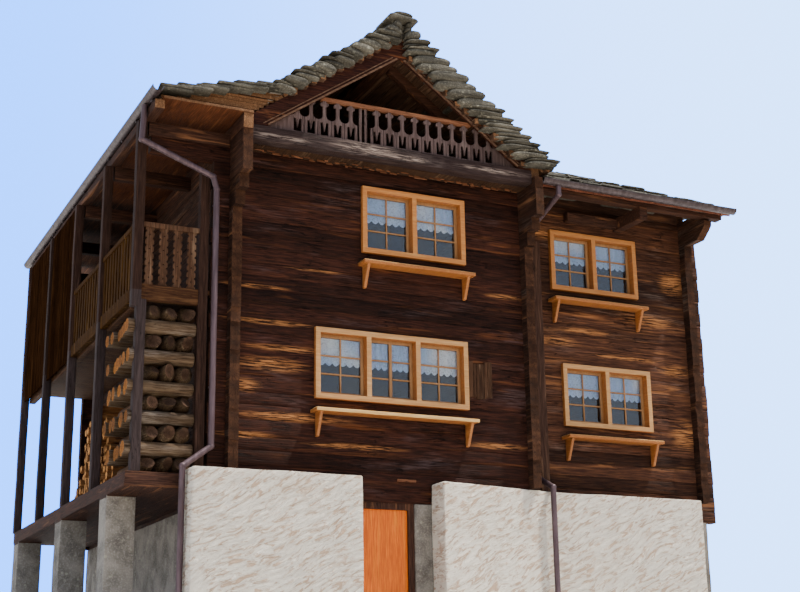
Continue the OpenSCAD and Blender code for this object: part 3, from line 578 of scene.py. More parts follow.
@dataclass(frozen=True)
class LaceFinish:
    """White lace with an open pattern of small holes."""

    name: str
    thread: RGB = (0.76, 0.73, 0.68)
    holes: float = 0.7

    def material(self) -> bpy.types.Material:
        """Builds the lace material.

        Returns:
            The material.
        """
        material, g, shader, place = start_material(self.name)
        net = g.add("TexVoronoi", {"Vector": g.scaled(place, (1.0, 0.2, 1.0)), "Scale": 60.0,
                                   "Randomness": 0.55}).outputs["Distance"]
        motif = g.span(g.noise(place, 26.0, 2.0), 0.44, 0.60)
        open_part = g.times(g.rest(g.span(net, 0.30, 0.44)), g.rest(motif))
        g.set(shader, {"Base Color": g.mix(motif, self.thread, tuple(0.88 * c for c in self.thread)),
                       "Alpha": g.rest(g.times(open_part, self.holes)), "Roughness": 0.9, "Subsurface Weight": 0.1})
        add_bump(g, shader, net, 0.3, 0.002)
        return material


# Finishes of the house. Patches of paler colour are given as X, Z, half width and half height.

# Orange patches on the lower left of the facade logs: painted sunlight.
FACADE_SUN_PATCHES = ((-1.85, 3.62, 0.62, 0.13), (-1.6, 3.86, 0.75, 0.06), (-1.9, 4.22, 0.8, 0.05), (-2.1, 4.72, 0.6, 0.04),
               (-1.5, 2.9, 1.0, 0.08), (-2.2, 2.62, 0.5, 0.06), (1.35, 3.68, 0.3, 0.3), (-1.2, 5.05, 0.5, 0.03),
               (-0.6, 2.55, 0.9, 0.05), (1.9, 5.0, 0.4, 0.05), (-2.25, 3.3, 0.3, 0.12), (1.7, 2.7, 0.6, 0.06))
WORN_WING = ((4.9, 5.05, 0.7, 0.14), (5.45, 5.75, 0.35, 0.25), (3.1, 4.55, 0.5, 0.1), (5.4, 4.25, 0.4, 0.12),
             (3.6, 4.75, 0.6, 0.06), (5.5, 3.2, 0.35, 0.3), (2.95, 6.3, 0.5, 0.1), (4.4, 4.38, 0.9, 0.05))
# Paler patches along the loft beam.
BEAM_PALE = ((-0.6, 6.84, 0.62, 0.11), (0.1, 6.8, 0.4, 0.06), (1.5, 6.83, 0.7, 0.05), (-1.9, 6.8, 0.5, 0.05))
FACADE = TimberFinish("facade_logs", (0.01, 0.0035, 0.002), (0.047, 0.0145, 0.008), (0.13, 0.042, 0.013), tone=0.45,
    streaks=0.12, grey=0.3, grey_rgb=(0.1, 0.08, 0.085), stain=0.5, worn=FACADE_SUN_PATCHES, bump=0.9, fine=8.0)
SIDE_LOGS = TimberFinish("side_logs", (0.013, 0.006, 0.004), (0.055, 0.024, 0.014), (0.18, 0.08, 0.035), Along.Y,
    tone=0.4, grey=0.3, grey_rgb=(0.16, 0.13, 0.11), seed=2.0, fine=8.0, bump=0.9)
WING_LOGS = TimberFinish("wing_logs", (0.02, 0.008, 0.005), (0.088, 0.034, 0.016), (0.3, 0.12, 0.042), tone=0.45,
    grey=0.35, grey_rgb=(0.16, 0.12, 0.1), worn=WORN_WING, bump=0.95, seed=4.0, fine=7.0)
BEAM = TimberFinish("loft_beam_timber", (0.018, 0.01, 0.009), (0.048, 0.03, 0.027), (0.14, 0.098, 0.084), grey=0.3,
    grey_rgb=(0.15, 0.12, 0.11), worn=BEAM_PALE, patch_rgb=(0.34, 0.26, 0.215), stain=0.45, seed=5.0)
GALLERY_X = TimberFinish("gallery_timber_x", (0.032, 0.012, 0.005), (0.098, 0.042, 0.016), (0.22, 0.11, 0.045),
    stain=0.5, seed=25.0)
GREY_Y = TimberFinish("grey_timber_y", (0.022, 0.01, 0.005), (0.062, 0.032, 0.018), (0.16, 0.095, 0.055), Along.Y,
    seed=6.0)
GREY_Z = TimberFinish("post_timber", (0.026, 0.017, 0.016), (0.062, 0.042, 0.04), (0.12, 0.085, 0.074), Along.Z,
    stain=0.45, seed=7.0)
# Darker copy of the post timber: painted shade for the posts under the gallery's roof and beside the house.
SHADED_Z = TimberFinish("gallery_post_timber", (0.018, 0.008, 0.005), (0.05, 0.024, 0.016), (0.115, 0.06, 0.042),
    Along.Z, stain=0.45, seed=26.0)
CORNER = TimberFinish("corner_plank", (0.026, 0.012, 0.008), (0.078, 0.038, 0.024), (0.2, 0.105, 0.055), Along.Z,
    stain=0.5, seed=27.0)
RAILING = TimberFinish("railing_boards", (0.028, 0.012, 0.006), (0.095, 0.046, 0.024), (0.26, 0.165, 0.1), Along.Z,
    stain=0.55, seed=17.0)
# Dark brown boards on the gallery's side, darkened further as painted shade.
BOARDING = TimberFinish("gallery_boarding_timber", (0.008, 0.003, 0.0012), (0.028, 0.011, 0.004), (0.07, 0.03, 0.01),
    Along.Z, stain=0.5, seed=28.0, shine=0.0)
BALUSTERS = TimberFinish("baluster_boards", (0.055, 0.034, 0.03), (0.125, 0.084, 0.078), (0.26, 0.2, 0.18), Along.Z,
    stain=0.4, seed=8.0)
LOFT_RAIL = TimberFinish("loft_rail", (0.09, 0.032, 0.015), (0.22, 0.092, 0.045), (0.36, 0.175, 0.09), stain=0.4,
    seed=18.0)
RAKE = TimberFinish("rake_timber", (0.014, 0.004, 0.0028), (0.062, 0.02, 0.012), (0.26, 0.09, 0.034), stain=0.7,
    seed=19.0)
DARK_X = TimberFinish("dark_timber_x", (0.02, 0.009, 0.006), (0.078, 0.033, 0.02), (0.24, 0.1, 0.042), seed=9.0)
DARK_Y = replace(DARK_X, name="dark_timber_y", along=Along.Y, seed=10.0)
DARK_Z = replace(DARK_X, name="dark_timber_z", along=Along.Z, seed=20.0)
BATTEN = TimberFinish("roof_battens", (0.04, 0.02, 0.012), (0.12, 0.065, 0.04), (0.26, 0.15, 0.09), Along.Y,
    seed=21.0)
SOFFIT = TimberFinish("soffit_boards", (0.05, 0.015, 0.006), (0.15, 0.048, 0.017), (0.28, 0.1, 0.034), Along.Y,
    cracks=0.5, seed=11.0)
# Reddish boards under the wing's eave, made paler as painted light bounced up from the ground.
EAVE_BOARDS = TimberFinish("eave_boards", (0.11, 0.036, 0.022), (0.32, 0.11, 0.06), (0.52, 0.21, 0.105), Along.Y,
    cracks=0.6, seed=22.0)
CUT_WOOD = TimberFinish("cut_wood", (0.1, 0.045, 0.02), (0.25, 0.125, 0.06), (0.42, 0.24, 0.13), Along.Y, stain=0.4,
    seed=23.0)
PINE = TimberFinish("varnished_pine", (0.36, 0.17, 0.055), (0.52, 0.29, 0.115), (0.64, 0.42, 0.2), tone=0.1,
    cracks=0.1, stain=0.35, streaks=0.1, rough=0.5, gloss=0.1, bump=0.15, seed=12.0, shine=0.25)
# Darker pine for the fronts of the upper window frames: painted shade from the roof.
PINE_PAINTED_SHADE = replace(PINE, name="shaded_pine", dark=(0.34, 0.12, 0.026), body=(0.47, 0.2, 0.052),
    light=(0.56, 0.31, 0.1), seed=34.0, shine=0.2)
# Darker pine still for the reveals and for the shelf faces out of the sun: painted shade.
REVEAL = replace(PINE_PAINTED_SHADE, name="pine_reveals", dark=(0.24, 0.075, 0.016), body=(0.38, 0.145, 0.036),
    light=(0.5, 0.235, 0.07), along=Along.Y, seed=29.0)
CASEMENT = replace(PINE, name="casement_pine", dark=(0.2, 0.09, 0.03), body=(0.32, 0.165, 0.065),
    light=(0.44, 0.27, 0.13), along=Along.Z, stain=0.3, bump=0.12, seed=13.0)
# Pale pine for the shelf tops and the front of the lowest shelf: painted sunlight.
SHELF_SUNLIT = TimberFinish("shelf_top", (0.6, 0.34, 0.12), (0.84, 0.56, 0.24), (0.94, 0.76, 0.44), cracks=0.4,
    stain=0.4, bump=0.3, seed=24.0)
DOOR = replace(PINE, name="door_varnish", dark=(0.44, 0.07, 0.002), body=(0.8, 0.17, 0.003),
    light=(0.92, 0.31, 0.012), along=Along.Z, stain=0.4, streaks=0.15, rough=0.45, gloss=0.12, seed=14.0, shine=0.15)
STRIP = TimberFinish("rake_strip_timber", (0.06, 0.03, 0.018), (0.16, 0.092, 0.058), (0.28, 0.18, 0.12), stain=0.4,
    seed=31.0)
# Dark brown slats on the gallery's side, darkened further as painted shade.
SIDE_RAIL = TimberFinish("side_railing_slats", (0.016, 0.006, 0.001), (0.05, 0.021, 0.004), (0.15, 0.075, 0.02),
    Along.Z, stain=0.55, seed=32.0, shine=0.02)
CRIB_X = TimberFinish("crib_logs_x", (0.04, 0.022, 0.011), (0.13, 0.085, 0.05), (0.3, 0.225, 0.155), cracks=0.8,
    grey=0.5, grey_rgb=(0.21, 0.175, 0.145), stain=0.4, bump=0.8, seed=15.0)
CRIB_Y = TimberFinish("crib_logs_y", (0.03, 0.015, 0.008), (0.09, 0.046, 0.022), (0.2, 0.12, 0.07), Along.Y,
    cracks=0.8, stain=0.5, bump=0.8, seed=16.0)
HEAP_X = TimberFinish("billet_sides", (0.1, 0.036, 0.011), (0.26, 0.11, 0.035), (0.46, 0.24, 0.09), cracks=0.8,
    stain=0.5, bump=0.8, seed=30.0)
HEWN = TimberFinish("hewn_log_ends", (0.03, 0.017, 0.009), (0.1, 0.062, 0.034), (0.24, 0.165, 0.1), Along.Y,
    cracks=0.8, stain=0.6, bump=0.9, seed=33.0)
LOG_ENDS = EndGrainFinish("log_ends", (0.012, 0.005, 0.003), (0.055, 0.023, 0.011))
CRIB_ENDS = EndGrainFinish("crib_ends", (0.01, 0.005, 0.003), (0.075, 0.04, 0.024))
SAWN_ENDS = EndGrainFinish("cross_log_ends", (0.075, 0.024, 0.004), (0.28, 0.1, 0.016))
BILLET_ENDS = EndGrainFinish("billet_ends", (0.22, 0.08, 0.022), (0.52, 0.24, 0.075))
SLABS = StoneFinish("roof_slabs", (0.03, 0.027, 0.02), (0.088, 0.08, 0.062), (0.29, 0.268, 0.22), layers=0.6)
RUBBLE = StoneFinish("masonry", (0.1, 0.085, 0.07), (0.24, 0.21, 0.175), (0.42, 0.38, 0.33), seed=3.0)
PLASTER = PlasterFinish("lime_plaster", (1, 0.9, 0.76), (0.62, 0.4, 0.26), (0.78, 0.62, 0.47))
GUTTER_METAL = MetalFinish("gutter_metal", (0.035, 0.022, 0.022), (0.085, 0.062, 0.064))
PIPE_METAL = MetalFinish("downpipe_metal", (0.055, 0.031, 0.035), (0.1, 0.062, 0.07), rough=0.5)
PANES = GlassFinish("window_panes")
LACE = LaceFinish("white_lace")


class Workshop:
    """Makes each finish's material once and paints pieces with it."""

    def __init__(self) -> None:
        """Starts with no material made."""
        self.made: dict[str, bpy.types.Material] = {}

    def material(self, finish: object) -> bpy.types.Material:
        """Material of a finish."""
        if finish.name not in self.made:
            self.made[finish.name] = finish.material()
        return self.made[finish.name]

    def paint(self, piece: bpy.types.Object, finish: object) -> None:
        """Gives a piece one material on every face.

        Args:
            piece: The piece.
            finish: The finish that it gets.
        """
        piece.data.materials.clear()
        piece.data.materials.append(self.material(finish))
        for face in piece.data.polygons:
            face.material_index = 0


WORKSHOP = Workshop()


# Mesh kit

COURSE = 0.205
BASE = 1.8
TAN_LEFT = 0.6924
TAN_RIGHT = 0.7319
TAN_WING = math.tan(math.radians(20.0))
WALL_TOP = BASE + 24 * COURSE
RIDGE_Z = WALL_TOP + 2.0
SLAB_TOP = RIDGE_Z + 0.36
HOUSE_RIGHT = 2.35
HOUSE_DEPTH = 7.6
WING_FRONT = 0.5
WING_RIDGE_Y = 2.9
WING_RUN = 3.3
WING_UNDER = WALL_TOP + 0.02
WING_TOP = WING_UNDER + TAN_WING * WING_RUN
X_AXIS, Y_AXIS = Vector((1, 0, 0)), Vector((0, 1, 0))
# Middle X, foot, width and height of each window
WINDOW_SIZES = {
    "main_lower": (0.0, 3.195, 2.42, 1.02), "main_upper": (0.372, 5.408, 1.696, 1.022),
    "wing_upper": (3.865, 5.386, 1.65, 0.994), "wing_lower": (3.995, 3.192, 1.65, 0.994),
    "rear_lower": (0.0, 3.195, 1.696, 1.02), "rear_upper": (0.0, 5.408, 1.696, 1.022),
}
# Faces of a box from its corners in the order X, Y, Z, and of a bar from its two end outlines
BOX_FACES = ((0, 2, 3, 1), (4, 5, 7, 6), (0, 1, 5, 4), (1, 3, 7, 5), (3, 2, 6, 7), (2, 0, 4, 6))
BAR_FACES = ((0, 1, 2, 3), (7, 6, 5, 4), (0, 4, 5, 1), (1, 5, 6, 2), (2, 6, 7, 3), (3, 7, 4, 0))
# Direction that puts points and faces in one order on every run
SORT_LINE = Vector((1.0, 7.31, 53.7))


def tube_faces(rings: int, sides: int) -> list[tuple[int, ...]]:
    """Faces of a closed tube.

    Args:
        rings: Number of rings of points.
        sides: Points of one ring.

    Returns:
        The faces between the rings, then the first and the last end.
    """
    faces = [(r * sides + k, r * sides + (k + 1) % sides, (r + 1) * sides + (k + 1) % sides, (r + 1) * sides + k)
             for r in range(rings - 1) for k in range(sides)]
    return faces + [tuple(range(sides - 1, -1, -1)), tuple((rings - 1) * sides + k for k in range(sides))]


def plate_faces(solid: dict[tuple[int, int], bool], rows: int, columns: int) -> tuple[list[tuple[int, ...]], list[int]]:
    """Faces of a plate of two skins over a grid, closed at its edges and round its holes.

    Args:
        solid: Whether each cell is solid.
        rows: Number of cells along the plate.
        columns: Number of cells across it.

    Returns:
        The faces, and for each 1 at the two ends of the plate or 0.
    """
    width, half = columns + 1, (rows + 1) * (columns + 1)
    faces, ends = [], []
    for (i, j), filled in solid.items():
        if not filled:
            continue
        a, b, c, d = i * width + j, (i + 1) * width + j, (i + 1) * width + j + 1, i * width + j + 1
        faces += [(a, b, c, d), (a + half, d + half, c + half, b + half)]
        ends += [0, 0]
        for cell, (p, q) in (((i - 1, j), (a, d)), ((i + 1, j), (b, c)), ((i, j - 1), (a, b)), ((i, j + 1), (d, c))):
            if not solid.get(cell, False):
                faces.append((p, q, q + half, p + half))
                ends.append(int(cell[0] in (-1, rows)))
    return faces, ends


class Soup:
    """Collects many small solids into one mesh."""

    def __init__(self) -> None:
        """Starts empty."""
        self.points: list[Point] = []
        self.faces: list[tuple[int, ...]] = []
        self.slots: list[int] = []
        self.tones: list[float] = []
        self.hearts: list[Point] = []

    def add(self, points: Sequence[Point], faces: Sequence[tuple[int, ...]], tone: float = 0.0,
            slots: Optional[Sequence[int]] = None, hearts: Optional[Sequence[Point]] = None) -> None:
        """Adds one solid.

        Args:
            points: Its corners.
            faces: Its faces, as numbers of those corners.
            tone: Its tone from -1 to 1.
            slots: Material number of each face, 0 if left out.
            hearts: Centre of the growth rings for each corner.
        """
        first = len(self.points)
        self.points.extend(tuple(p) for p in points)
        self.tones.extend([tone] * len(points))
        self.hearts.extend(hearts or [(0.0, 0.0, 0.0)] * len(points))
        self.faces.extend(tuple(first + i for i in face) for face in faces)
        self.slots.extend(slots if slots is not None else [0] * len(faces))

    def build(self, name: str, finishes: Sequence[object], slot: str, replaces: Sequence[str] = (),
              smooth: float = 0.7) -> bpy.types.Object:
        """Makes the piece from what was collected.

        Args:
            name: Name of the piece.
            finishes: Finish of each material number.
            slot: Not used.
            replaces: CAD nodes that it stands for.
            smooth: Angle over which edges stay sharp.

        Returns:
            The new piece.
        """
        mesh = bpy.data.meshes.new(name)
        mesh.from_pydata(self.points, [], self.faces)
        tones = mesh.attributes.new("tone", "FLOAT", "POINT")
        tones.data.foreach_set("value", self.tones)
        hearts = mesh.attributes.new("heart", "FLOAT_VECTOR", "POINT")
        hearts.data.foreach_set("vector", [c for heart in self.hearts for c in heart])
        mesh.polygons.foreach_set("material_index", self.slots)
        tidy = bmesh.new()
        tidy.from_mesh(mesh)
        bmesh.ops.recalc_face_normals(tidy, faces=tidy.faces)
        tidy.to_mesh(mesh)
        tidy.free()
        return finish_piece(name, mesh, finishes, replaces, smooth)


def finish_piece(name: str, mesh: bpy.types.Mesh, finishes: Sequence[object],
                 replaces: Sequence[str] = (), smooth: float = 0.7, body: str = "house") -> bpy.types.Object:
    """Turns a finished mesh into a piece of the house.

    Args:
        name: Name of the piece.
        mesh: Its mesh.
        finishes: Finish of each material number.
        replaces: CAD nodes that it stands for.
        smooth: Angle over which edges stay sharp.
        body: Body that it rides on.

    Returns:
        The new piece.
    """
    mesh.polygons.foreach_set("use_smooth", [True] * len(mesh.polygons))
    mesh.set_sharp_from_angle(angle=smooth)
    for finish in finishes:
        mesh.materials.append(WORKSHOP.material(finish))
    piece = bpy.data.objects.new(name, mesh)
    bpy.context.scene.collection.objects.link(piece)
    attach(piece, body)
    if replaces:
        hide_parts(*replaces)
    LOG.info("made %s with %d faces", name, len(mesh.polygons))
    return piece


def wave(x: float, y: float = 0.0, z: float = 0.0) -> float:
    """Smooth noise from about -1 to 1 at a place."""
    return noise.noise(Vector((x, y, z)))


def prism(soup: Soup, low: Sequence[float], high: Sequence[float], dice: Dice, jitter: float,
          slots: Optional[Sequence[int]] = None, bevel: float = 0.0) -> None:
    """Adds a board or block with slightly uneven corners.

    Args:
        soup: Mesh that takes it.
        low: Lowest corner.
        high: Highest corner.
        dice: Its seeded dice.
        jitter: Largest shift of a corner.
        slots: Material numbers of the faces of a block without bevel: bottom, top, -Y, +X, +Y, -X.
        bevel: Width of the worn edges along the longest side.
    """
    tone = dice.near(1)
    if not bevel:
        corners = [(x, y, z) for z in (low[2], high[2]) for y in (low[1], high[1]) for x in (low[0], high[0])]
        moved = [tuple(c + dice.near(jitter) for c in corner) for corner in corners]
        soup.add(moved, BOX_FACES, tone, slots)
        return
    sizes = [high[i] - low[i] for i in range(3)]
    axis = sizes.index(max(sizes))
    a, b = [i for i in range(3) if i != axis]
    outline = [(bevel, 0), (sizes[a] - bevel, 0), (sizes[a], bevel), (sizes[a], sizes[b] - bevel),
               (sizes[a] - bevel, sizes[b]), (bevel, sizes[b]), (0, sizes[b] - bevel), (0, bevel)]
    count = max(2, int(sizes[axis] / 0.25) + 1)
    points, hearts = [], []
    phase = dice.of(0, 50)
    for k in range(count):
        t = k / (count - 1)
        sway = (jitter * wave(phase + 2.0 * t * sizes[axis]), jitter * wave(phase + 9 + 2.0 * t * sizes[axis]))
        for u, v in outline:
            place = [0.0, 0.0, 0.0]
            place[axis] = low[axis] + sizes[axis] * t
            place[a] = low[a] + u + sway[0]
            place[b] = low[b] + v + sway[1]
            points.append(tuple(place))
            heart = list(place)
            heart[a] = low[a] + sizes[a] * 0.4
            heart[b] = low[b] + sizes[b] * 0.3
            hearts.append(tuple(heart))
    soup.add(points, tube_faces(count, len(outline)), tone, None, hearts)


def round_log(soup: Soup, start: Vector, end: Vector, radius: float, dice: Dice, sides: int = 16,
              hewn: float = 0.0) -> None:
    """Adds one rough round log with bevelled or hewn ends, which take material 1.

    Args:
        soup: Mesh that takes it.
        start: Centre of one end.
        end: Centre of the other end.
        radius: Mean radius.
        dice: Its seeded dice.
        sides: Corners of one ring.
        hewn: Length of the slanting axe cuts at the start, which take material 2.
    """
    axis = (end - start).normalized()
    side = axis.cross(Vector((0, 0, 1))).normalized()
    up = side.cross(axis)
    phase, oval, seed = dice.of(0, 6.28), dice.of(0.93, 1.07), dice.of(0, 90)
    length = (end - start).length
    off = side * dice.near(0.2) * radius + up * dice.of(-0.1, 0.25) * radius
    points, hearts = [], []
    rim = min(0.012, length * 0.1) / length
    inner = [(0.04 + 0.92 * k / 6, 1.0) for k in range(7)]
    stations = [(0.0, 0.93), (rim, 1.0)] + inner + [(1 - rim, 1.0), (1.0, 0.93)]
    if hewn:
        round_part = [s for s in stations if s[0] * length > hewn + 0.01]
        stations = [(0.0, dice.of(0.5, 0.74)), (hewn / length, 1.0)] + round_part
    tip = (side * dice.of(-0.1, 0.3) + up * dice.of(-0.05, 0.25)) * radius if hewn else Vector()
    for t, scale in stations:
        bend = 0.05 * radius * math.sin(3.0 * t + phase)
        for k in range(sides):
            angle = 2 * math.pi * k / sides
            lump = 1 + 0.08 * wave(seed + 1.3 * math.cos(angle), 1.3 * math.sin(angle), 2.5 * t)
            a = math.cos(angle) * radius * oval * scale * lump + bend
            b = math.sin(angle) * radius / oval * scale * lump
            slant = hewn * 0.5 * math.sin(angle + phase) if hewn and t == 0.0 else 0.0
            shift = axis * slant + tip if t == 0.0 else Vector()
            points.append(tuple(start + axis * (t * length) + side * a + up * b + shift))
            hearts.append(tuple(start + axis * (t * length) + off))
    faces = tube_faces(len(stations), sides)
    slots = [2 if hewn and number < sides else 0 for number in range(len(faces) - 2)] + [1, 1]
    soup.add(points, faces, dice.near(1), slots, hearts)


@dataclass
class Aged:
    """A copy of a CAD node with worn edges and uneven faces."""

    node: str
    finishes: tuple[object, ...]
    slot: str
    step: float = 0.3
    amplitude: float = 0.004
    bevel: float = 0.005
    segments: int = 2
    pick: Optional[Callable[[Face], int]] = None

    def build(self) -> bpy.types.Object:
        """Builds the copy in place of its node.

        Returns:
            The new piece.
        """
        work = bmesh.new()
        work.from_mesh(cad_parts[self.node].data)
        bmesh.ops.remove_doubles(work, verts=work.verts, dist=1e-5)
        bmesh.ops.dissolve_limit(work, angle_limit=0.01, verts=work.verts, edges=work.edges)
        if self.bevel:
            sharp = [e for e in work.edges if len(e.link_faces) == 2 and e.calc_face_angle(0.0) > 0.5]
            bmesh.ops.bevel(work, geom=sharp, offset=self.bevel, segments=self.segments, profile=0.6,
                            affect="EDGES", clamp_overlap=True)
        low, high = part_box(self.node)
        for axis in range(3):
            cuts = int((high[axis] - low[axis]) / self.step)
            for k in range(1, cuts + 1):
                place = [0.0, 0.0, 0.0]
                normal = [0.0, 0.0, 0.0]
                place[axis] = low[axis] + (high[axis] - low[axis]) * k / (cuts + 1)
                normal[axis] = 1.0
                bmesh.ops.bisect_plane(work, geom=work.verts[:] + work.edges[:] + work.faces[:], plane_co=place,
                                       plane_no=normal, dist=1e-4)
        work.verts.sort(key=lambda vert: vert.co.dot(SORT_LINE))
        work.faces.sort(key=lambda face: face.calc_center_median().dot(SORT_LINE))
        islands = self.islands(work)
        tones = [0.0] * len(work.verts)
        for number, island in enumerate(islands):
            tone = Dice(number * 31 + len(self.node)).near(1)
            for vert in island:
                tones[vert.index] = tone
        for vert in work.verts:
            place = vert.co.copy()
            shift = noise.noise_vector(place * 1.7) * 0.6 + noise.noise_vector(place * 5.3) * 0.4
            if place.z < 0.002:
                shift.z = 0.0
            vert.co += shift * self.amplitude
        work.normal_update()
        for face in work.faces:
            face.material_index = self.pick(face) if self.pick else 0
        mesh = bpy.data.meshes.new(self.node + "_aged")
        work.to_mesh(mesh)
        work.free()
        attribute = mesh.attributes.new("tone", "FLOAT", "POINT")
        attribute.data.foreach_set("value", tones)
        return finish_piece(self.node + "_aged", mesh, self.finishes, (self.node,), 0.5)

    def islands(self, work: bmesh.types.BMesh) -> list[list[bmesh.types.BMVert]]:
        """Groups of points that hang together.

        Args:
            work: The mesh.

        Returns:
            The groups, in the order of their first points.
        """
        work.verts.index_update()
        seen, groups = set(), []
        for vert in work.verts:
            if vert.index in seen:
                continue
            seen.add(vert.index)
            group, queue = [], [vert]
            while queue:
                now = queue.pop()
                group.append(now)
                for edge in now.link_edges:
                    other = edge.other_vert(now)
                    if other.index not in seen:
                        seen.add(other.index)
                        queue.append(other)
            groups.append(group)
        return groups


# Log walls


@dataclass
class LogWall:
    """One wall of squared logs, laid in courses with irregular seams."""

    name: str
    nodes: tuple[str, ...]
    origin: Vector
    along: Vector
    outward: Vector
    seams: list[float]
    ends: Callable[[int], tuple[float, float]]
    finishes: tuple[object, object]
    holes: tuple[Patch, ...] = ()
    limit: Optional[Callable[[float], float]] = None
    nose: Optional[Callable[[float], float]] = None
    seed: int = 0
    thickness: float = 0.15
    step: float = 0.1
    gap: float = 0.0012
    overlap: float = 0.003
    sink: float = 0.004
    worn_edge: float = 0.006
    relief: float = 0.006

    def fade(self, s: float, z: float) -> float:
        """Strength of the unevenness, which fades out beside the holes.

        Args:
            s: Place along the wall.
            z: Height.

        Returns:
            1 far from every hole, falling to 0 beside one.
        """
        value = 1.0
        for s0, z0, s1, z1 in self.holes:
            distance = math.hypot(max(s0 - s, 0.0, s - s1), max(z0 - z, 0.0, z - z1))
            value = min(value, max(0.0, min(1.0, (distance - 0.03) / 0.12)))
        return value

    def seam(self, s: float, z: float) -> float:
        """Height of an irregular seam.

        Args:
            s: Place along the wall.
            z: Mean height of the seam.

        Returns:
            The height at that place.
        """
        if z <= self.seams[0] + 0.001:
            return z
        wobble = 0.011 * wave(s * 0.55 + self.seed, z * 7.3) + 0.004 * wave(s * 2.3, z * 9.1 + self.seed)
        return z + wobble * self.fade(s, z)

    def columns(self, start: float, end: float, low: float) -> list[float]:
        """Places of the cuts across one log.

        Args:
            start: Start of the log.
            end: End of the log.
            low: Height of its lower seam.

        Returns:
            The places in order, or none where the gable leaves no room for the log.
        """
        marks = {start, start + 0.012, end - 0.012, end}
        count = max(2, int((end - start) / self.step))
        marks.update(start + (end - start) * k / count for k in range(1, count))
        marks.update(s for hole in self.holes for s in (hole[0], hole[2]) if start < s < end)
        if self.limit:
            count = int((end - start) / 0.01)
            steps = (start + (end - start) * k / count for k in range(count + 1))
            free = [s for s in steps if self.limit(s) > low + 0.02]
            if not free:
                return []
            marks = {s for s in marks if free[0] < s < free[-1]} | {free[0], free[-1]}
        return sorted(marks)

    def course(self, soup: Soup, k: int, dice: Dice) -> None:
        """Adds one log with its notches for the windows.

        Args:
            soup: Mesh that takes it.
            k: Number of its course.
            dice: Its seeded dice.
        """
        z0, z1 = self.seams[k], self.seams[k + 1]
        start, end = self.ends(k)
        start, end = start + dice.of(0.0, 0.025), end - dice.of(0.0, 0.025)
        marks = self.columns(start, end, z0)
        if len(marks) < 3:
            return
        rows = {0.0, 0.05, 0.3, 0.65, 0.95, 1.0}
        rows.update((z - z0) / (z1 - z0) for hole in self.holes for z in (hole[1], hole[3]) if z0 < z < z1)
        levels = sorted(rows)
        lean, tone = dice.near(0.5) * self.relief, dice.near(1)
        points, hearts = [], []
        core = Vector((0, 0, (z0 + z1) / 2 + dice.near(0.03))) - self.outward * dice.of(0.05, 0.1)
        for side, gap in enumerate((self.gap, -self.overlap)):
            for i, s in enumerate(marks):
                low, high = self.seam(s, z0) + gap, self.seam(s, z1) - gap
                if self.limit:
                    high = min(high, self.limit(s))
                    low = min(low, high - 0.002)
                for t in levels:
                    z = low + (high - low) * t
                    reach = max(s, self.nose(z)) if self.nose else s
                    if side:
                        depth = -self.thickness
                    else:
                        depth = lean + self.relief * (0.8 * wave(s * 0.7, z * 2.5, self.seed + k * 3.1)
                                                      + 0.5 * wave(s * 2.9, z * 11.0, self.seed))
                        if t in (0.0, 1.0) or i in (0, len(marks) - 1):
                            depth -= self.worn_edge
                        depth -= self.sink
                    points.append(tuple(self.origin + self.along * reach + Vector((0, 0, z)) + self.outward * depth))
                    hearts.append(tuple(self.origin + self.along * s + core))
        solid = {}
        for i in range(len(marks) - 1):
            for j in range(len(levels) - 1):
                s, z = (marks[i] + marks[i + 1]) / 2, z0 + (z1 - z0) * (levels[j] + levels[j + 1]) / 2
                solid[i, j] = not any(a[0] < s < a[2] and a[1] < z < a[3] for a in self.holes)
        faces, slots = plate_faces(solid, len(marks) - 1, len(levels) - 1)
        soup.add(points, faces, tone, slots, hearts)

    def build(self) -> None:
        """Builds the wall."""
        soup, dice = Soup(), Dice(self.seed * 97 + 5)
        for k in range(len(self.seams) - 1):
            self.course(soup, k, dice)
        soup.build(self.name, self.finishes, "log_timber", self.nodes, smooth=0.9)


def hole(name: str, lap: float = 0.006) -> Patch:
    """Hole of a window in a wall, a little smaller than its frame."""
    middle, z, width, height = WINDOW_SIZES[name]
    return (middle - width / 2 + lap, z + lap, middle + width / 2 - lap, z + height - lap)


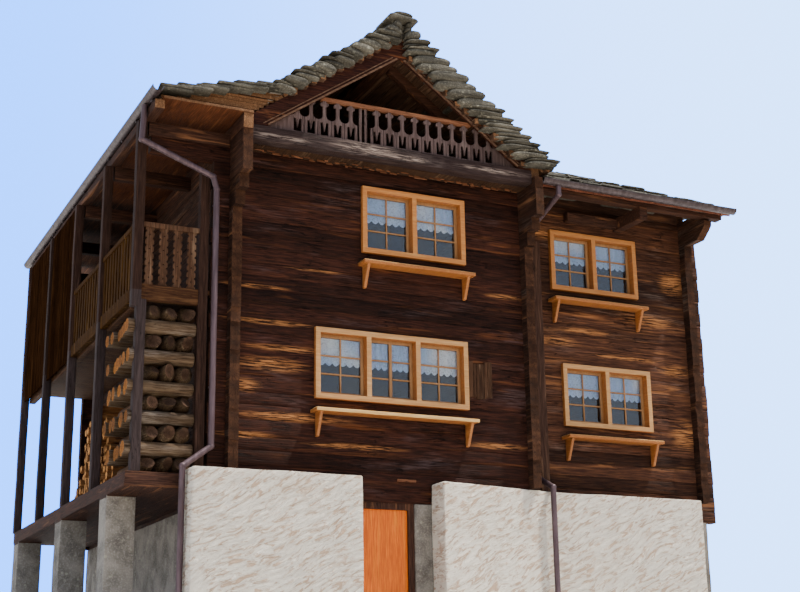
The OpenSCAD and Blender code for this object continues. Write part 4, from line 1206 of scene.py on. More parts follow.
@dataclass
class LogWalls:
    """All the log walls of the main house and the wing."""

    left: float = 2.5
    right: float = HOUSE_RIGHT
    depth: float = HOUSE_DEPTH
    wing_front: float = WING_FRONT
    wing_x: float = 5.78
    wing_y1: float = 5.3
    log_end: float = 0.15
    corbels: tuple[float, ...] = (0.25, 0.4, 0.55, 0.55, 0.55)
    first_corbel: int = 20
    wing_corbel: float = 0.74
    nose_foot: float = 6.4125

    def seams(self, shift: float, low: float, high: float) -> list[float]:
        """Seam heights from low to high, with courses shifted by a share of a log."""
        dice = Dice(int(shift * 10 + high * 100))
        inner = [BASE + (k + shift) * COURSE + dice.near(0.017) for k in range(-1, 60)]
        return [low] + [z for z in inner if low + 0.03 < z < high - 0.03] + [high]

    def side_ends(self, k: int) -> tuple[float, float]:
        """Ends of a log in a side wall of the main house, longer for the corbels at the top."""
        reach = self.corbels[k - self.first_corbel] if k >= self.first_corbel else self.log_end
        return (0.0 if k < 2 else -reach, self.depth + (0.0 if k < 2 else self.log_end))

    def wing_side_ends(self, k: int) -> tuple[float, float]:
        """Ends of a log in the wing's right wall.

        Args:
            k: Number of its course.

        Returns:
            Start and end along Y.
        """
        if k < 2 or k > 24:
            return (self.wing_front, self.wing_y1)
        return (self.wing_front - (self.wing_corbel if k > 22 else self.log_end), self.wing_y1 + self.log_end)

    def wing_nose(self, z: float) -> float:
        """Slanting end of the corbel logs under the wing's eave purlin."""
        return -0.24 * min(1.0, max(0.0, (z - self.nose_foot) / COURSE)) if z < WALL_TOP else -0.08

    def main_gable(self, s: float) -> float:
        """Underside of the main roof over the rear wall."""
        if s < -self.left + 0.15 or s > self.right - 0.15:
            return WALL_TOP
        return RIDGE_Z - max(-s * TAN_LEFT, s * TAN_RIGHT) - 0.003

    def wing_gable(self, s: float) -> float:
        """Underside of the wing roof over its right wall."""
        if not self.wing_front <= s <= self.wing_y1:
            return 7.0
        return WING_UNDER + TAN_WING * (WING_RUN - abs(s - WING_RIDGE_Y)) - 0.003

    def build(self) -> None:
        """Builds every wall."""
        x, y = X_AXIS, Y_AXIS
        front, side, wing = (FACADE, LOG_ENDS), (SIDE_LOGS, LOG_ENDS), (WING_LOGS, LOG_ENDS)
        LogWall("front_logs", ("front_wall",), Vector(), x, -y, self.seams(0.0, BASE, WALL_TOP),
                lambda k: (-self.left - (0.25 if k < 23 else 1.15), self.right), front,
                (hole("main_lower"), hole("main_upper")), seed=1).build()
        side_seams = self.seams(0.5, BASE, WALL_TOP + COURSE / 2)
        LogWall("left_logs", ("left_wall",), -self.left * x, y, -x, side_seams, self.side_ends, side, seed=2).build()
        LogWall("right_logs", ("right_wall",), self.right * x, y, x, side_seams, self.side_ends, side, seed=3).build()
        LogWall("rear_logs", ("rear_wall",), self.depth * y, x, y, self.seams(0.0, BASE, RIDGE_Z - 0.1),
                lambda k: (-self.left - (0.25 if k < 24 else 0.0), self.right + (0.25 if k < 24 else 0.0)), front,
                (hole("rear_lower"), hole("rear_upper")), self.main_gable, seed=4).build()
        wing_seams = self.seams(0.0, BASE, WALL_TOP + COURSE / 2)
        LogWall("wing_front_logs", ("wing_front_wall",), self.wing_front * y, x, -y, wing_seams,
                lambda k: (self.right, self.wing_x + 0.2), wing, (hole("wing_upper"), hole("wing_lower")), seed=5,
                relief=0.009).build()
        LogWall("wing_rear_logs", ("wing_rear_wall",), self.wing_y1 * y, x, y, wing_seams,
                lambda k: (self.right, self.wing_x + 0.2), wing, seed=6).build()
        LogWall("wing_side_logs", ("wing_right_wall",), self.wing_x * x, y, x, self.seams(0.5, BASE, 7.93),
                self.wing_side_ends, side, limit=self.wing_gable, nose=self.wing_nose, seed=7).build()


# Roofs


def stone_slab(soup: Soup, down: Vector, centre: Vector, size: Point, dice: Dice,
               verge: bool = False) -> None:
    """Adds one irregular slab: a flat plate with broken corners, or a rounded stone at a gable.

    Args:
        soup: Mesh that takes it.
        down: Level direction down the slope.
        centre: Middle of the slab.
        size: Length down the slope, width along it and thickness.
        dice: Its seeded dice.
        verge: True at a gable, where the slabs are thicker and rounder.
    """
    length, width, thick = size
    seed, tilt = dice.of(0, 99), dice.of(0.0, 0.07)
    across = Vector((down.y, down.x, 0)) if down.x else X_AXIS
    a, b = length / 2, width / 2
    if verge:
        turns = [2 * math.pi * (k + 0.5) / 14 for k in range(14)]
        outline = [(math.copysign(abs(math.cos(g)) ** 0.62, math.cos(g)) * a,
                    math.copysign(abs(math.sin(g)) ** 0.62, math.sin(g)) * b) for g in turns]
        rings = ((-0.5, 0.3), (-0.28, 0.1), (0.0, 0.0), (0.3, 0.1), (0.5, 0.3))
    else:
        cut = [dice.of(0.012, 0.24) * min(a, b) for _ in range(8)]
        outline = [(a, -b + cut[0]), (a + dice.of(-0.03, 0.012), dice.near(0.4) * b), (a, b - cut[1]),
                   (a - cut[2], b), (dice.near(0.3) * a, b + dice.of(-0.01, 0.004)), (-a + cut[3], b),
                   (-a, b - cut[4]), (-a, -b + cut[5]), (-a + cut[6], -b), (a - cut[7], -b)]
        rings = ((-0.5, 0.16), (-0.3, 0.02), (0.08, 0.0), (0.5, 0.42))
    points: list[Point] = []
    for height, inset in rings:
        for k, (u, v) in enumerate(outline):
            chip = 1 + 0.04 * wave(seed + 2.3 * k, height * 2.0)
            u, v = u * (1 - inset * thick / a) * chip, v * (1 - inset * thick / b)
            w = height * thick * (1.1 - 0.3 * max(0.0, u / length + 0.25)) - tilt * u
            w += 0.006 * wave(seed + 9 * u, 9 * v)
            points.append(tuple(centre + down * u + across * v + Vector((0, 0, w))))
    soup.add(points, tube_faces(len(rings), len(outline)), dice.near(1))


@dataclass
class Slope:
    """One slope of overlapping stone slabs, laid nearly level like stairs."""

    down: Vector
    ridge: Vector
    reach: float
    fall: float
    courses: int
    run: tuple[float, float]
    length: float
    thick: float
    keep: Optional[Callable[[float, float], bool]] = None
    width: tuple[float, float] = (0.34, 0.62)
    plates: int = 1
    round_ends: bool = True

    def fill(self, soup: Soup, dice: Dice) -> None:
        """Adds every slab of the slope.

        Args:
            soup: Mesh that takes them.
            dice: Its seeded dice.
        """
        across = Y_AXIS if self.down.x else X_AXIS
        rise = self.fall / self.courses
        for k in range(1, self.courses + 1):
            place = self.run[0] + dice.of(-0.02, 0.03)
            first = True
            while place < self.run[1] - 0.12:
                width = dice.of(*self.width) * (0.8 if first else 1.0)
                if self.run[1] - place - width < 0.2:
                    width = self.run[1] - place
                nose = self.reach * k / self.courses + dice.of(-0.025, 0.03)
                top = self.ridge.z - rise * k + dice.near(0.006)
                verge = self.round_ends and place + width > self.run[1] - 0.05
                length = self.length * dice.of(0.92, 1.15)
                for plate in range(self.plates):
                    thick = self.thick / self.plates
                    lift = (plate + 0.5) * thick
                    push = nose + (dice.of(-0.06, 0.03) if self.plates > 1 else 0.0)
                    slide = dice.of(0.0, 0.07) if first and self.plates > 1 else 0.0
                    middle = self.ridge + self.down * (push - length / 2) + across * (place + width / 2 + slide)
                    middle.z = top - lift
                    if self.keep is None or self.keep(middle.x, top):
                        size = (length, width * dice.of(0.97, 1.02), thick * (1.15 if verge else 1.06))
                        stone_slab(soup, self.down, middle, size, dice, verge)
                place += width
                first = False


@dataclass
class Verge:
    """The slabs that hang free at the front gable, one to a course, round at their tails."""

    sign: int
    tan: float
    reach: float
    courses: int
    length: float
    front: float = -0.62
    back: float = -0.41
    steps: int = 12

    def lens(self, nose: float, tail: float, high: float, thick: float, bend: float) -> list[Point]:
        """Outline of one slab in the gable's plane.

        Args:
            nose: Place of its lower end.
            tail: Place of its upper end.
            high: Height of its top.
            thick: Its thickness.
            bend: How far its tail hangs down.

        Returns:
            Points of place, middle height and height over the middle.
        """
        upper, lower = [], []
        for k in range(self.steps + 1):
            s = 0.5 - 0.5 * math.cos(math.pi * k / self.steps)
            full = thick / 2 * (1 - abs(2 * s - 1) ** (2.8 if s < 0.5 else 5.0)) ** 0.48 * (1.0 - 0.22 * s * s)
            x = tail + (nose - tail) * s
            middle = high - thick / 2 - bend * (1 - s) ** 2.2 - 0.15 * bend * s ** 4
            upper.append((x, middle, full))
            lower.append((x, middle, -full))
        return upper + lower[-2:0:-1]

    def stone(self, soup: Soup, outline: Sequence[Point], front: float, back: float, dice: Dice) -> None:
        """Adds one slab with a worn, rounded front face.

        Args:
            soup: Mesh that takes it.
            outline: Its outline from lens().
            front: Y of its front face.
            back: Y of its back face.
            dice: Its seeded dice.
        """
        low, high = min(p[0] for p in outline), max(p[0] for p in outline)
        centre, half = (low + high) / 2, (high - low) / 2
        thick = max(p[2] for p in outline)
        seed = dice.of(0, 99)
        points: list[Point] = []
        rings = ((0.0, 0.036), (0.009, 0.02), (0.03, 0.006), (0.06, 0.0), (back - front, 0.0))
        for depth, inset in rings:
            for x, middle, over in outline:
                lump = 0.007 * wave(seed + x * 6, depth * 8, over * 20) + 0.004 * wave(seed + x * 23, over * 40)
                place = centre + (x - centre) * (1 - inset / half)
                tall = middle + over * (1 - 0.85 * inset / thick) + lump
                points.append((self.sign * place, front + depth + 0.01 * wave(seed + x * 4, over * 15), tall))
        soup.add(points, tube_faces(len(rings), len(outline)), dice.near(1))

    def fill(self, soup: Soup, dice: Dice) -> None:
        """Adds every slab of the verge.

        Args:
            soup: Mesh that takes them.
            dice: Its seeded dice.
        """
        run, rise = self.reach / self.courses, self.tan * self.reach / self.courses
        for k in range(1, self.courses + 1):
            nose = k * run + dice.of(-0.03, 0.02)
            tail = max(nose - self.length * dice.of(0.84, 1.06), 0.03)
            high = SLAB_TOP - rise * k + dice.of(-0.004, 0.008)
            thick, bend = (rise + 0.026) * dice.of(0.97, 1.18), dice.of(0.02, 0.06)
            front = self.front + dice.of(0.0, 0.045)
            if dice.random() < 0.35:
                share = dice.of(0.35, 0.6)
                upper = self.lens(nose, tail + dice.of(0.0, 0.07), high, thick * share, bend)
                self.stone(soup, upper, front, self.back, dice)
                lower = self.lens(nose - dice.of(0.0, 0.07), tail, high - thick * share, thick * (1 - share), bend)
                self.stone(soup, lower, front + dice.of(-0.01, 0.03), self.back, dice)
            else:
                self.stone(soup, self.lens(nose, tail, high, thick, bend), front, self.back, dice)

    def wedges(self, soup: Soup, dice: Dice) -> None:
        """Adds the small batten ends and wedges that show under the tails.

        Args:
            soup: Mesh that takes them.
            dice: Its seeded dice.
        """
        run, rise = self.reach / self.courses, self.tan * self.reach / self.courses
        for k in range(2, self.courses + 1):
            tail = k * run - self.length + dice.of(0.0, 0.04)
            if tail < 0.1:
                continue
            low, wide = SLAB_TOP - rise * (k + 1) - dice.of(0.03, 0.07), dice.of(0.05, 0.09)
            ends = sorted((self.sign * (tail - 0.01), self.sign * (tail + wide)))
            front = self.front + dice.of(0.07, 0.12)
            prism(soup, (ends[0], front, low), (ends[1], self.back, low + dice.of(0.06, 0.1)), dice, 0.008,
                  slots=(0, 0, 1, 0, 0, 0))


@dataclass
class Roofs:
    """Stone slab roofs with the battens and boards that carry them."""

    verge: float = 0.62
    verge_back: float = 8.22
    break_x: float = 2.08
    right_reach: float = 2.65
    wing_eave: float = -0.4
    wing_end: float = 6.04
    bed_front: float = -0.36

    def clear_of_main(self, x: float, z: float) -> bool:
        """True for a wing slab that isn't under the main roof."""
        return x > min(self.right_reach, (SLAB_TOP - z) / TAN_RIGHT) - 0.12

    def slabs(self) -> None:
        """Builds the slabs of every slope and of the ridge."""
        run, field = (-self.verge, self.verge_back), (-0.45, self.verge_back)
        gallery_top = SLAB_TOP - TAN_LEFT * self.break_x
        left = Verge(-1, TAN_LEFT, self.break_x, 14, 0.40)
        right = Verge(1, TAN_RIGHT, self.right_reach, 17, 0.70)
        parts = {
            "slabs_left": ((left, Slope(-X_AXIS, Vector((0, 0, SLAB_TOP)), self.break_x, TAN_LEFT * self.break_x, 14,
                                        field, 0.34, 0.107)), ("roof_left",)),
            "slabs_right": ((right, Slope(X_AXIS, Vector((0, 0, SLAB_TOP)), self.right_reach,
                                          TAN_RIGHT * self.right_reach, 17, field, 0.335, 0.115)), ("roof_right",)),
            "slabs_gallery": ((Slope(-X_AXIS, Vector((-self.break_x, 0, gallery_top)), 1.63, 0.37, 6, run, 0.5, 0.068,
                                     width=(0.45, 0.8), plates=2, round_ends=False),), ("gallery_roof",)),
            "slabs_wing": (tuple(
                Slope(side * Y_AXIS, Vector((0, WING_RIDGE_Y, WING_TOP + 0.14)), WING_RUN, TAN_WING * WING_RUN, 14,
                      (0.9, self.wing_end), 0.5, 0.072, self.clear_of_main, (0.28, 0.62), plates=2, round_ends=False)
                for side in (-1.0, 1.0)), ("wing_roof",)),
        }
        for number, (name, (slopes, nodes)) in enumerate(parts.items()):
            plates, stones, dice = Soup(), Soup(), Dice(300 + number)
            for slope in slopes:
                slope.fill(stones if isinstance(slope, Verge) else plates, dice)
            plates.build(name, (SLABS,), "slab_stone", nodes, smooth=0.35)
            if stones.points:
                stones.build(name + "_verge", (SLABS,), "slab_stone", nodes, smooth=0.9)
        soup, dice = Soup(), Dice(310)
        left.wedges(soup, dice)
        right.wedges(soup, dice)
        soup.build("verge_wedges", (BATTEN, CUT_WOOD), "log_timber", smooth=0.5)

    def ridge(self) -> None:
        """Builds the flat slabs that cap the ridge."""
        soup, dice = Soup(), Dice(41)
        for layer, (low, half, thick) in enumerate(((8.972, 0.235, 0.05), (9.018, 0.2, 0.045))):
            place = -self.verge - 0.01 + 0.1 * layer
            while place < self.verge_back - 0.2:
                width = min(dice.of(0.45, 0.75), self.verge_back - place)
                middle = Vector((dice.near(0.03), place + width / 2, low + thick / 2))
                stone_slab(soup, X_AXIS, middle, (2 * half, width + 0.02, thick), dice)
                place += width
        stone_slab(soup, X_AXIS, Vector((0.0, -0.45, 9.062)), (0.33, 0.36, 0.04), dice, True)
        soup.build("slabs_ridge", (SLABS,), "slab_stone", ("ridge_slabs",), smooth=0.4)

    def flakes(self) -> None:
        """Builds the thin plates piled on the wing's eave where it meets the main roof."""
        soup, dice = Soup(), Dice(43)
        for layer in range(9):
            place, stop = 2.5 + dice.of(0.0, 0.2), 2.75 + 2.9 * (1 - layer / 8.5)
            while place < stop:
                width, front = dice.of(0.22, 0.5), self.wing_eave + 0.03 * layer + dice.near(0.05)
                middle = Vector((place + width / 2, front + 0.25, WING_UNDER + 0.155 + 0.03 * layer))
                stone_slab(soup, -Y_AXIS, middle, (0.5, width, dice.of(0.028, 0.04)), dice)
                place += width * dice.of(0.7, 1.05)
        soup.build("slabs_wing_pile", (SLABS,), "slab_stone", ("wing_roof",), smooth=0.35)

    def battens(self) -> None:
        """Builds the battens that run along the house under the slabs, with their ends at the verges."""
        soup, dice = Soup(), Dice(52)
        for sign, tan, reach in ((-1, TAN_LEFT, self.break_x), (1, TAN_RIGHT, self.right_reach)):
            tilt = math.atan(tan)
            count = int(reach / math.cos(tilt) / 0.15)
            for k in range(count):
                d = (k + 0.5) * 0.15
                x, z = d * math.cos(tilt), RIDGE_Z - d * math.sin(tilt)
                if sign > 0 and x > self.right_reach - 0.25:
                    z = max(z, RIDGE_Z - TAN_RIGHT * HOUSE_RIGHT + 0.01)
                tone, front = dice.near(1), -0.4 + dice.of(-0.03, 0.02)
                points = []
                for y in (front, self.verge_back - 0.3):
                    for a, b in ((-0.07, 0.002), (0.07, 0.002), (0.07, 0.045), (-0.07, 0.045)):
                        px = x + a * math.cos(tilt) + b * math.sin(tilt)
                        pz = z - a * math.sin(tilt) + b * math.cos(tilt)
                        points.append((sign * px, y, pz + dice.near(0.002)))
                soup.add(points, BAR_FACES, tone, (1, 1, 0, 0, 0, 0))
        soup.build("roof_battens", (BATTEN, CUT_WOOD), "log_timber", smooth=0.5)

    def bedding(self) -> None:
        """Builds the dark rubble bedding between the battens and the slabs, back from the verges."""
        soup = Soup()
        for sign, tan, reach in ((-1, TAN_LEFT, self.break_x), (1, TAN_RIGHT, self.right_reach - 0.12)):
            rows, columns = 8, 30
            points = []
            for layer in (0, 1):
                for i in range(rows + 1):
                    for j in range(columns + 1):
                        x = reach * i / rows
                        y = self.bed_front + (self.verge_back - 0.1 - self.bed_front) * j / columns
                        z = RIDGE_Z - tan * x + (0.05 if not layer else 0.2)
                        if sign > 0:
                            z = max(z, RIDGE_Z - TAN_RIGHT * HOUSE_RIGHT + (0.02 if not layer else 0.1))
                        points.append((sign * x, y, z + 0.01 * wave(x * 9, y * 9)))
            cells = {(i, j): True for i in range(rows) for j in range(columns)}
            soup.add(points, plate_faces(cells, rows, columns)[0])
        soup.build("roof_bedding", (RUBBLE,), "masonry", smooth=0.5)

    def gallery_fill(self) -> None:
        """Builds the stacked boards between the gallery's soffit and its slabs, whose edges show in front."""
        soup, dice = Soup(), Dice(67)
        low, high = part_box("gallery_soffit")
        front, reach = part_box("rake_boards")[0][1] + 0.03, -low[0] + 0.07 - self.break_x
        top, floor = SLAB_TOP - TAN_LEFT * self.break_x, high[2] + 0.001
        slope, level = (top - floor - 0.18) / reach, floor
        while level < top - 0.16:
            upper = min(level + dice.of(0.04, 0.06), top - 0.1)
            left = max(low[0], -self.break_x - (top - 0.1 - upper) / slope)
            right = -(RIDGE_Z - level) / TAN_LEFT
            prism(soup, (left, front + dice.of(0.0, 0.05), level), (right, self.verge_back - 0.25, upper), dice,
                  0.003, slots=(0, 0, 1, 0, 1, 0))
            level = upper + 0.002
        soup.build("gallery_fill_boards", (DARK_Y, CUT_WOOD), "log_timber", ("gallery_roof",), smooth=0.5)

    def wing_boards(self) -> None:
        """Builds the sloping boards under the wing's slabs."""
        soup, dice = Soup(), Dice(71)
        for side in (-1, 1):
            x = 1.2
            while x < self.wing_end - 0.02:
                wide = min(dice.of(0.15, 0.21), self.wing_end - x)
                drop = dice.of(0.0, 0.006)
                points = []
                for d in (0.0, 3.29 + dice.of(-0.03, 0.0)):
                    for a, b in ((0.003, 0.0), (wide - 0.003, 0.0), (wide - 0.003, 0.03), (0.003, 0.03)):
                        z = WING_UNDER + TAN_WING * (WING_RUN - d) + b + drop
                        points.append((x + a, WING_RIDGE_Y + side * d, z))
                if x > (SLAB_TOP - WING_TOP) / TAN_RIGHT:
                    soup.add(points, BAR_FACES, dice.near(1))
                x += wide
        soup.build("wing_boards", (EAVE_BOARDS,), "log_timber", smooth=0.5)

    def build(self) -> None:
        """Builds all of the roofs."""
        self.gallery_fill()
        self.slabs()
        self.ridge()
        self.flakes()
        self.battens()
        self.bedding()
        self.wing_boards()


# Windows and door


@dataclass
class Window:
    """One window with deep plank frame, small-paned casements and lace."""

    name: str
    x: float
    z: float
    width: float
    height: float
    lights: int
    plane: float
    facing: int = -1
    plank: float = 0.075
    stile: float = 0.045
    bar: float = 0.024
    split_middle: bool = False

    def light_width(self) -> float:
        """Clear width of one light."""
        return (self.width - (self.lights + 1) * self.plank) / self.lights

    def openings(self) -> list[tuple[float, float, int]]:
        """Finds the glass openings.

        Returns:
            Left edge, width and number of panes across of each.
        """
        found = []
        for k in range(self.lights):
            left = self.x - self.width / 2 + self.plank + k * (self.light_width() + self.plank)
            if self.split_middle and k == 1:
                half = self.light_width() / 2
                found += [(left + self.stile, half - 2 * self.stile + 0.006, 1),
                          (left + half + self.stile - 0.006, half - 2 * self.stile + 0.006, 1)]
            else:
                found.append((left + self.stile, self.light_width() - 2 * self.stile, 2))
        return found

    def levels(self) -> tuple[float, float]:
        """Bottom and top of the glass."""
        return self.z + self.plank + self.stile, self.z + self.height - self.plank - self.stile

    def depth(self, value: float) -> float:
        """Y of a depth behind the wall's outer plane."""
        return self.plane - self.facing * value

    def bars(self, soup: Soup, dice: Dice) -> None:
        """Adds the glazing bars.

        Args:
            soup: Mesh that takes them.
            dice: Its seeded dice.
        """
        low, high = self.levels()
        ys = sorted((self.depth(0.066), self.depth(0.0815)))
        half = self.bar / 2
        for left, width, across in self.openings():
            for k in range(1, across):
                x = left + width * k / across
                prism(soup, (x - half, ys[0], low - 0.004), (x + half, ys[1], high + 0.004), dice, 0.0006, bevel=0.003)
            for k in (1, 2):
                z = low + (high - low) * k / 3
                prism(soup, (left - 0.004, ys[0] + 0.001, z - half), (left + width + 0.004, ys[1], z + half), dice,
                      0.0006, bevel=0.003)

    def lace(self, number: int, left: float, width: float) -> None:
        """Hangs one lace valance with a scalloped hem behind the upper panes.

        Args:
            number: Number of the glass opening.
            left: Its left edge.
            width: Its width.
        """
        low, high = self.levels()
        drop = (high - low) * 0.45
        columns, rows, folds = 48, 14, 3.0 + number % 2
        across = width + 0.03
        mesh = bpy.data.meshes.new(f"{self.name}_lace_{number}")
        points, faces, scallops = [], [], max(3, round(width / 0.1))
        for j in range(rows + 1):
            for i in range(columns + 1):
                u, v = i / columns, j / rows
                hem = 0.04 * abs(math.sin(math.pi * scallops * u)) * v ** 3
                y = 0.113 + 0.005 * math.sin(2 * math.pi * folds * u + 0.6 * number) + 0.002 * math.sin(23 * u + 3 * v)
                points.append((left - 0.015 + across * u, self.depth(y), high + 0.015 - (drop + 0.015) * v - hem))
        for j in range(rows):
            for i in range(columns):
                a = j * (columns + 1) + i
                faces.append((a, a + 1, a + columns + 2, a + columns + 1))
        mesh.from_pydata(points, [], faces)
        cloth = finish_piece(f"{self.name}_lace_{number}", mesh, (LACE,), smooth=3.0)


@dataclass
class Windows:
    """All windows with their shelves."""

    units: tuple[Window, ...] = (
        Window("main_lower", *WINDOW_SIZES["main_lower"], 3, 0.0, split_middle=True),
        Window("main_upper", *WINDOW_SIZES["main_upper"], 2, 0.0),
        Window("wing_upper", *WINDOW_SIZES["wing_upper"], 2, WING_FRONT),
        Window("wing_lower", *WINDOW_SIZES["wing_lower"], 2, WING_FRONT),
        Window("rear_lower", *WINDOW_SIZES["rear_lower"], 2, HOUSE_DEPTH, facing=1),
        Window("rear_upper", *WINDOW_SIZES["rear_upper"], 2, HOUSE_DEPTH, facing=1),
    )

    @staticmethod
    def painted_sun_pick(face: Face) -> int:
        """Picks the pale finish, painted sunlight, for shelf tops and for the sunlit front of the lowest shelf."""
        middle = face.calc_center_median()
        front = face.normal.y < -0.3 and middle.y < -0.235 and middle.z < 3.2 and middle.x < 1.6
        return 1 if face.normal.z > 0.35 or front else 0

    def build(self) -> None:
        """Builds the bars and the lace, and ages the frames, casements and shelves."""
        soup, dice = Soup(), Dice(81)
        for unit in self.units:
            unit.bars(soup, dice)
            for number, (left, width, _) in enumerate(unit.openings()):
                unit.lace(number, left, width)
        soup.build("glazing_bars", (CASEMENT,), "pine_timber", smooth=0.6)
        # Reveal faces and the fronts of the upper frames take darker pine as painted shade; the lower fronts keep the
        # lighter pine as sunlit.
        Aged("window_frames", (PINE, REVEAL, PINE_PAINTED_SHADE), "pine_timber", 0.4, 0.002, 0.004,
             pick=lambda face: 1 if abs(face.normal.y) < 0.5 else 2 if face.calc_center_median().z > 5.0 else 0).build()
        Aged("window_casements", (CASEMENT,), "pine_timber", 0.5, 0.001, 0.003).build()
        # Shelf tops and the lowest shelf's front take pale pine as painted sunlight, the other faces darker pine as
        # painted shade.
        Aged("window_shelves", (REVEAL, SHELF_SUNLIT), "pine_timber", 0.3, 0.003, 0.014, segments=3,
             pick=self.painted_sun_pick).build()


# Masonry base


@dataclass
class Base:
    """Plastered base walls, cellar walls and threshold."""

    def build(self) -> None:
        """Builds the plastered and rendered masonry."""
        for piece in (
            Aged("plinth_wall_left", (PLASTER,), "lime_plaster", 0.09, 0.012, 0.03, segments=3),
            Aged("plinth_wall_right", (PLASTER,), "lime_plaster", 0.12, 0.012, 0.03, segments=3),
            Aged("basement_side_walls", (RUBBLE,), "masonry", 0.25, 0.014, 0.02),
            Aged("basement_cross_walls", (RUBBLE,), "masonry", 0.25, 0.014, 0.02),
            Aged("basement_floor", (RUBBLE,), "masonry", 0.5, 0.004, 0.01),
            Aged("threshold_stone", (RUBBLE,), "masonry", 0.1, 0.008, 0.02),
        ):
            piece.build()


# Firewood


@dataclass
class Firewood:
    """The log crib at the gallery's front and the heap of billets behind it."""

    x0: float = -3.80
    x1: float = -2.925
    heap_x0: float = -3.675
    deck: float = 2.05
    pitch: float = 0.4113
    rows: int = 6
    row_x: tuple[float, ...] = (-3.5025, -3.2715, -3.0405)
    row_half: float = 0.11535
    cross_half: float = 0.09
    cross_y: tuple[float, ...] = (0.125, 0.325, 0.53, 0.735, 0.94, 1.145)

    def crib(self) -> tuple[Soup, Soup]:
        """Builds the rows of logs that point forward and the cross logs between them.

        Returns:
            The cross logs and the row logs.
        """
        cross, rows, dice = Soup(), Soup(), Dice(91)
        for k in range(self.rows):
            base = self.deck + k * self.pitch
            for x in self.row_x:
                radius = self.row_half * dice.of(0.96, 1.1)
                start = Vector((x + dice.near(0.015), dice.of(0.03, 0.11), base + self.row_half))
                end = Vector((x + dice.near(0.01), 1.25, base + self.row_half))
                round_log(rows, start, end, radius, dice, sides=14, hewn=dice.of(0.07, 0.16))
            if k == self.rows - 1:
                continue
            for y in self.cross_y:
                z = base + 2 * self.row_half + self.cross_half
                start = Vector((self.x0 + dice.of(-0.06, 0.02), y + dice.near(0.012), z))
                end = Vector((self.x1 + dice.of(-0.01, 0.02), y + dice.near(0.012), z))
                round_log(cross, start, end, self.cross_half * dice.of(0.99, 1.08), dice)
        return cross, rows

    def billet(self, soup: Soup, y: float, z: float, radius: float, dice: Dice) -> None:
        """Adds one split billet that lies along X.

        Args:
            soup: Mesh that takes it.
            y: Y of its middle.
            z: Height of its middle.
            radius: Its mean radius.
            dice: Its seeded dice.
        """
        sides = dice.choice((3, 4, 4, 5))
        turn, length = dice.of(0, 6.28), dice.of(0.68, 0.78)
        left = self.heap_x0 + dice.of(-0.03, 0.05)
        outline = []
        for k in range(sides):
            angle = turn + 2 * math.pi * k / sides + dice.near(0.25)
            far = radius * dice.of(0.85, 1.2)
            outline.append((far * math.cos(angle), far * math.sin(angle)))
        points, hearts = [], []
        for x in (left, left + length * 0.5, left + length):
            for a, b in outline:
                points.append((x, y + a + dice.near(0.003), z + b + dice.near(0.003)))
                hearts.append((x, y + outline[0][0] * 1.1, z + outline[0][1] * 1.1))
        faces = tube_faces(3, sides)
        soup.add(points, faces, dice.near(1), [0] * (len(faces) - 2) + [1, 1], hearts)

    def heap(self) -> Soup:
        """Builds the heap of billets.

        Returns:
            The mesh of all billets.
        """
        soup, dice = Soup(), Dice(92)
        radius, start, step = 0.062, 1.31, 0.118
        for row in range(12):
            for k in range(18 - row):
                y = start + radius + (k + row / 2) * step + dice.near(0.012)
                z = self.deck + radius + row * 0.87 * step + dice.near(0.01)
                self.billet(soup, y, z, radius * dice.of(0.88, 1.04), dice)
        return soup

    def build(self) -> None:
        """Builds all of the firewood."""
        cross, rows = self.crib()
        cross.build("crib_cross_logs", (CRIB_X, SAWN_ENDS), "firewood", ("firewood_stack",), smooth=0.8)
        rows.build("crib_row_logs", (CRIB_Y, CRIB_ENDS, HEWN), "firewood", ("firewood_stack",), smooth=0.8)
        self.heap().build("billet_heap", (HEAP_X, BILLET_ENDS), "firewood", ("firewood_stack",), smooth=0.4)


# Timber parts


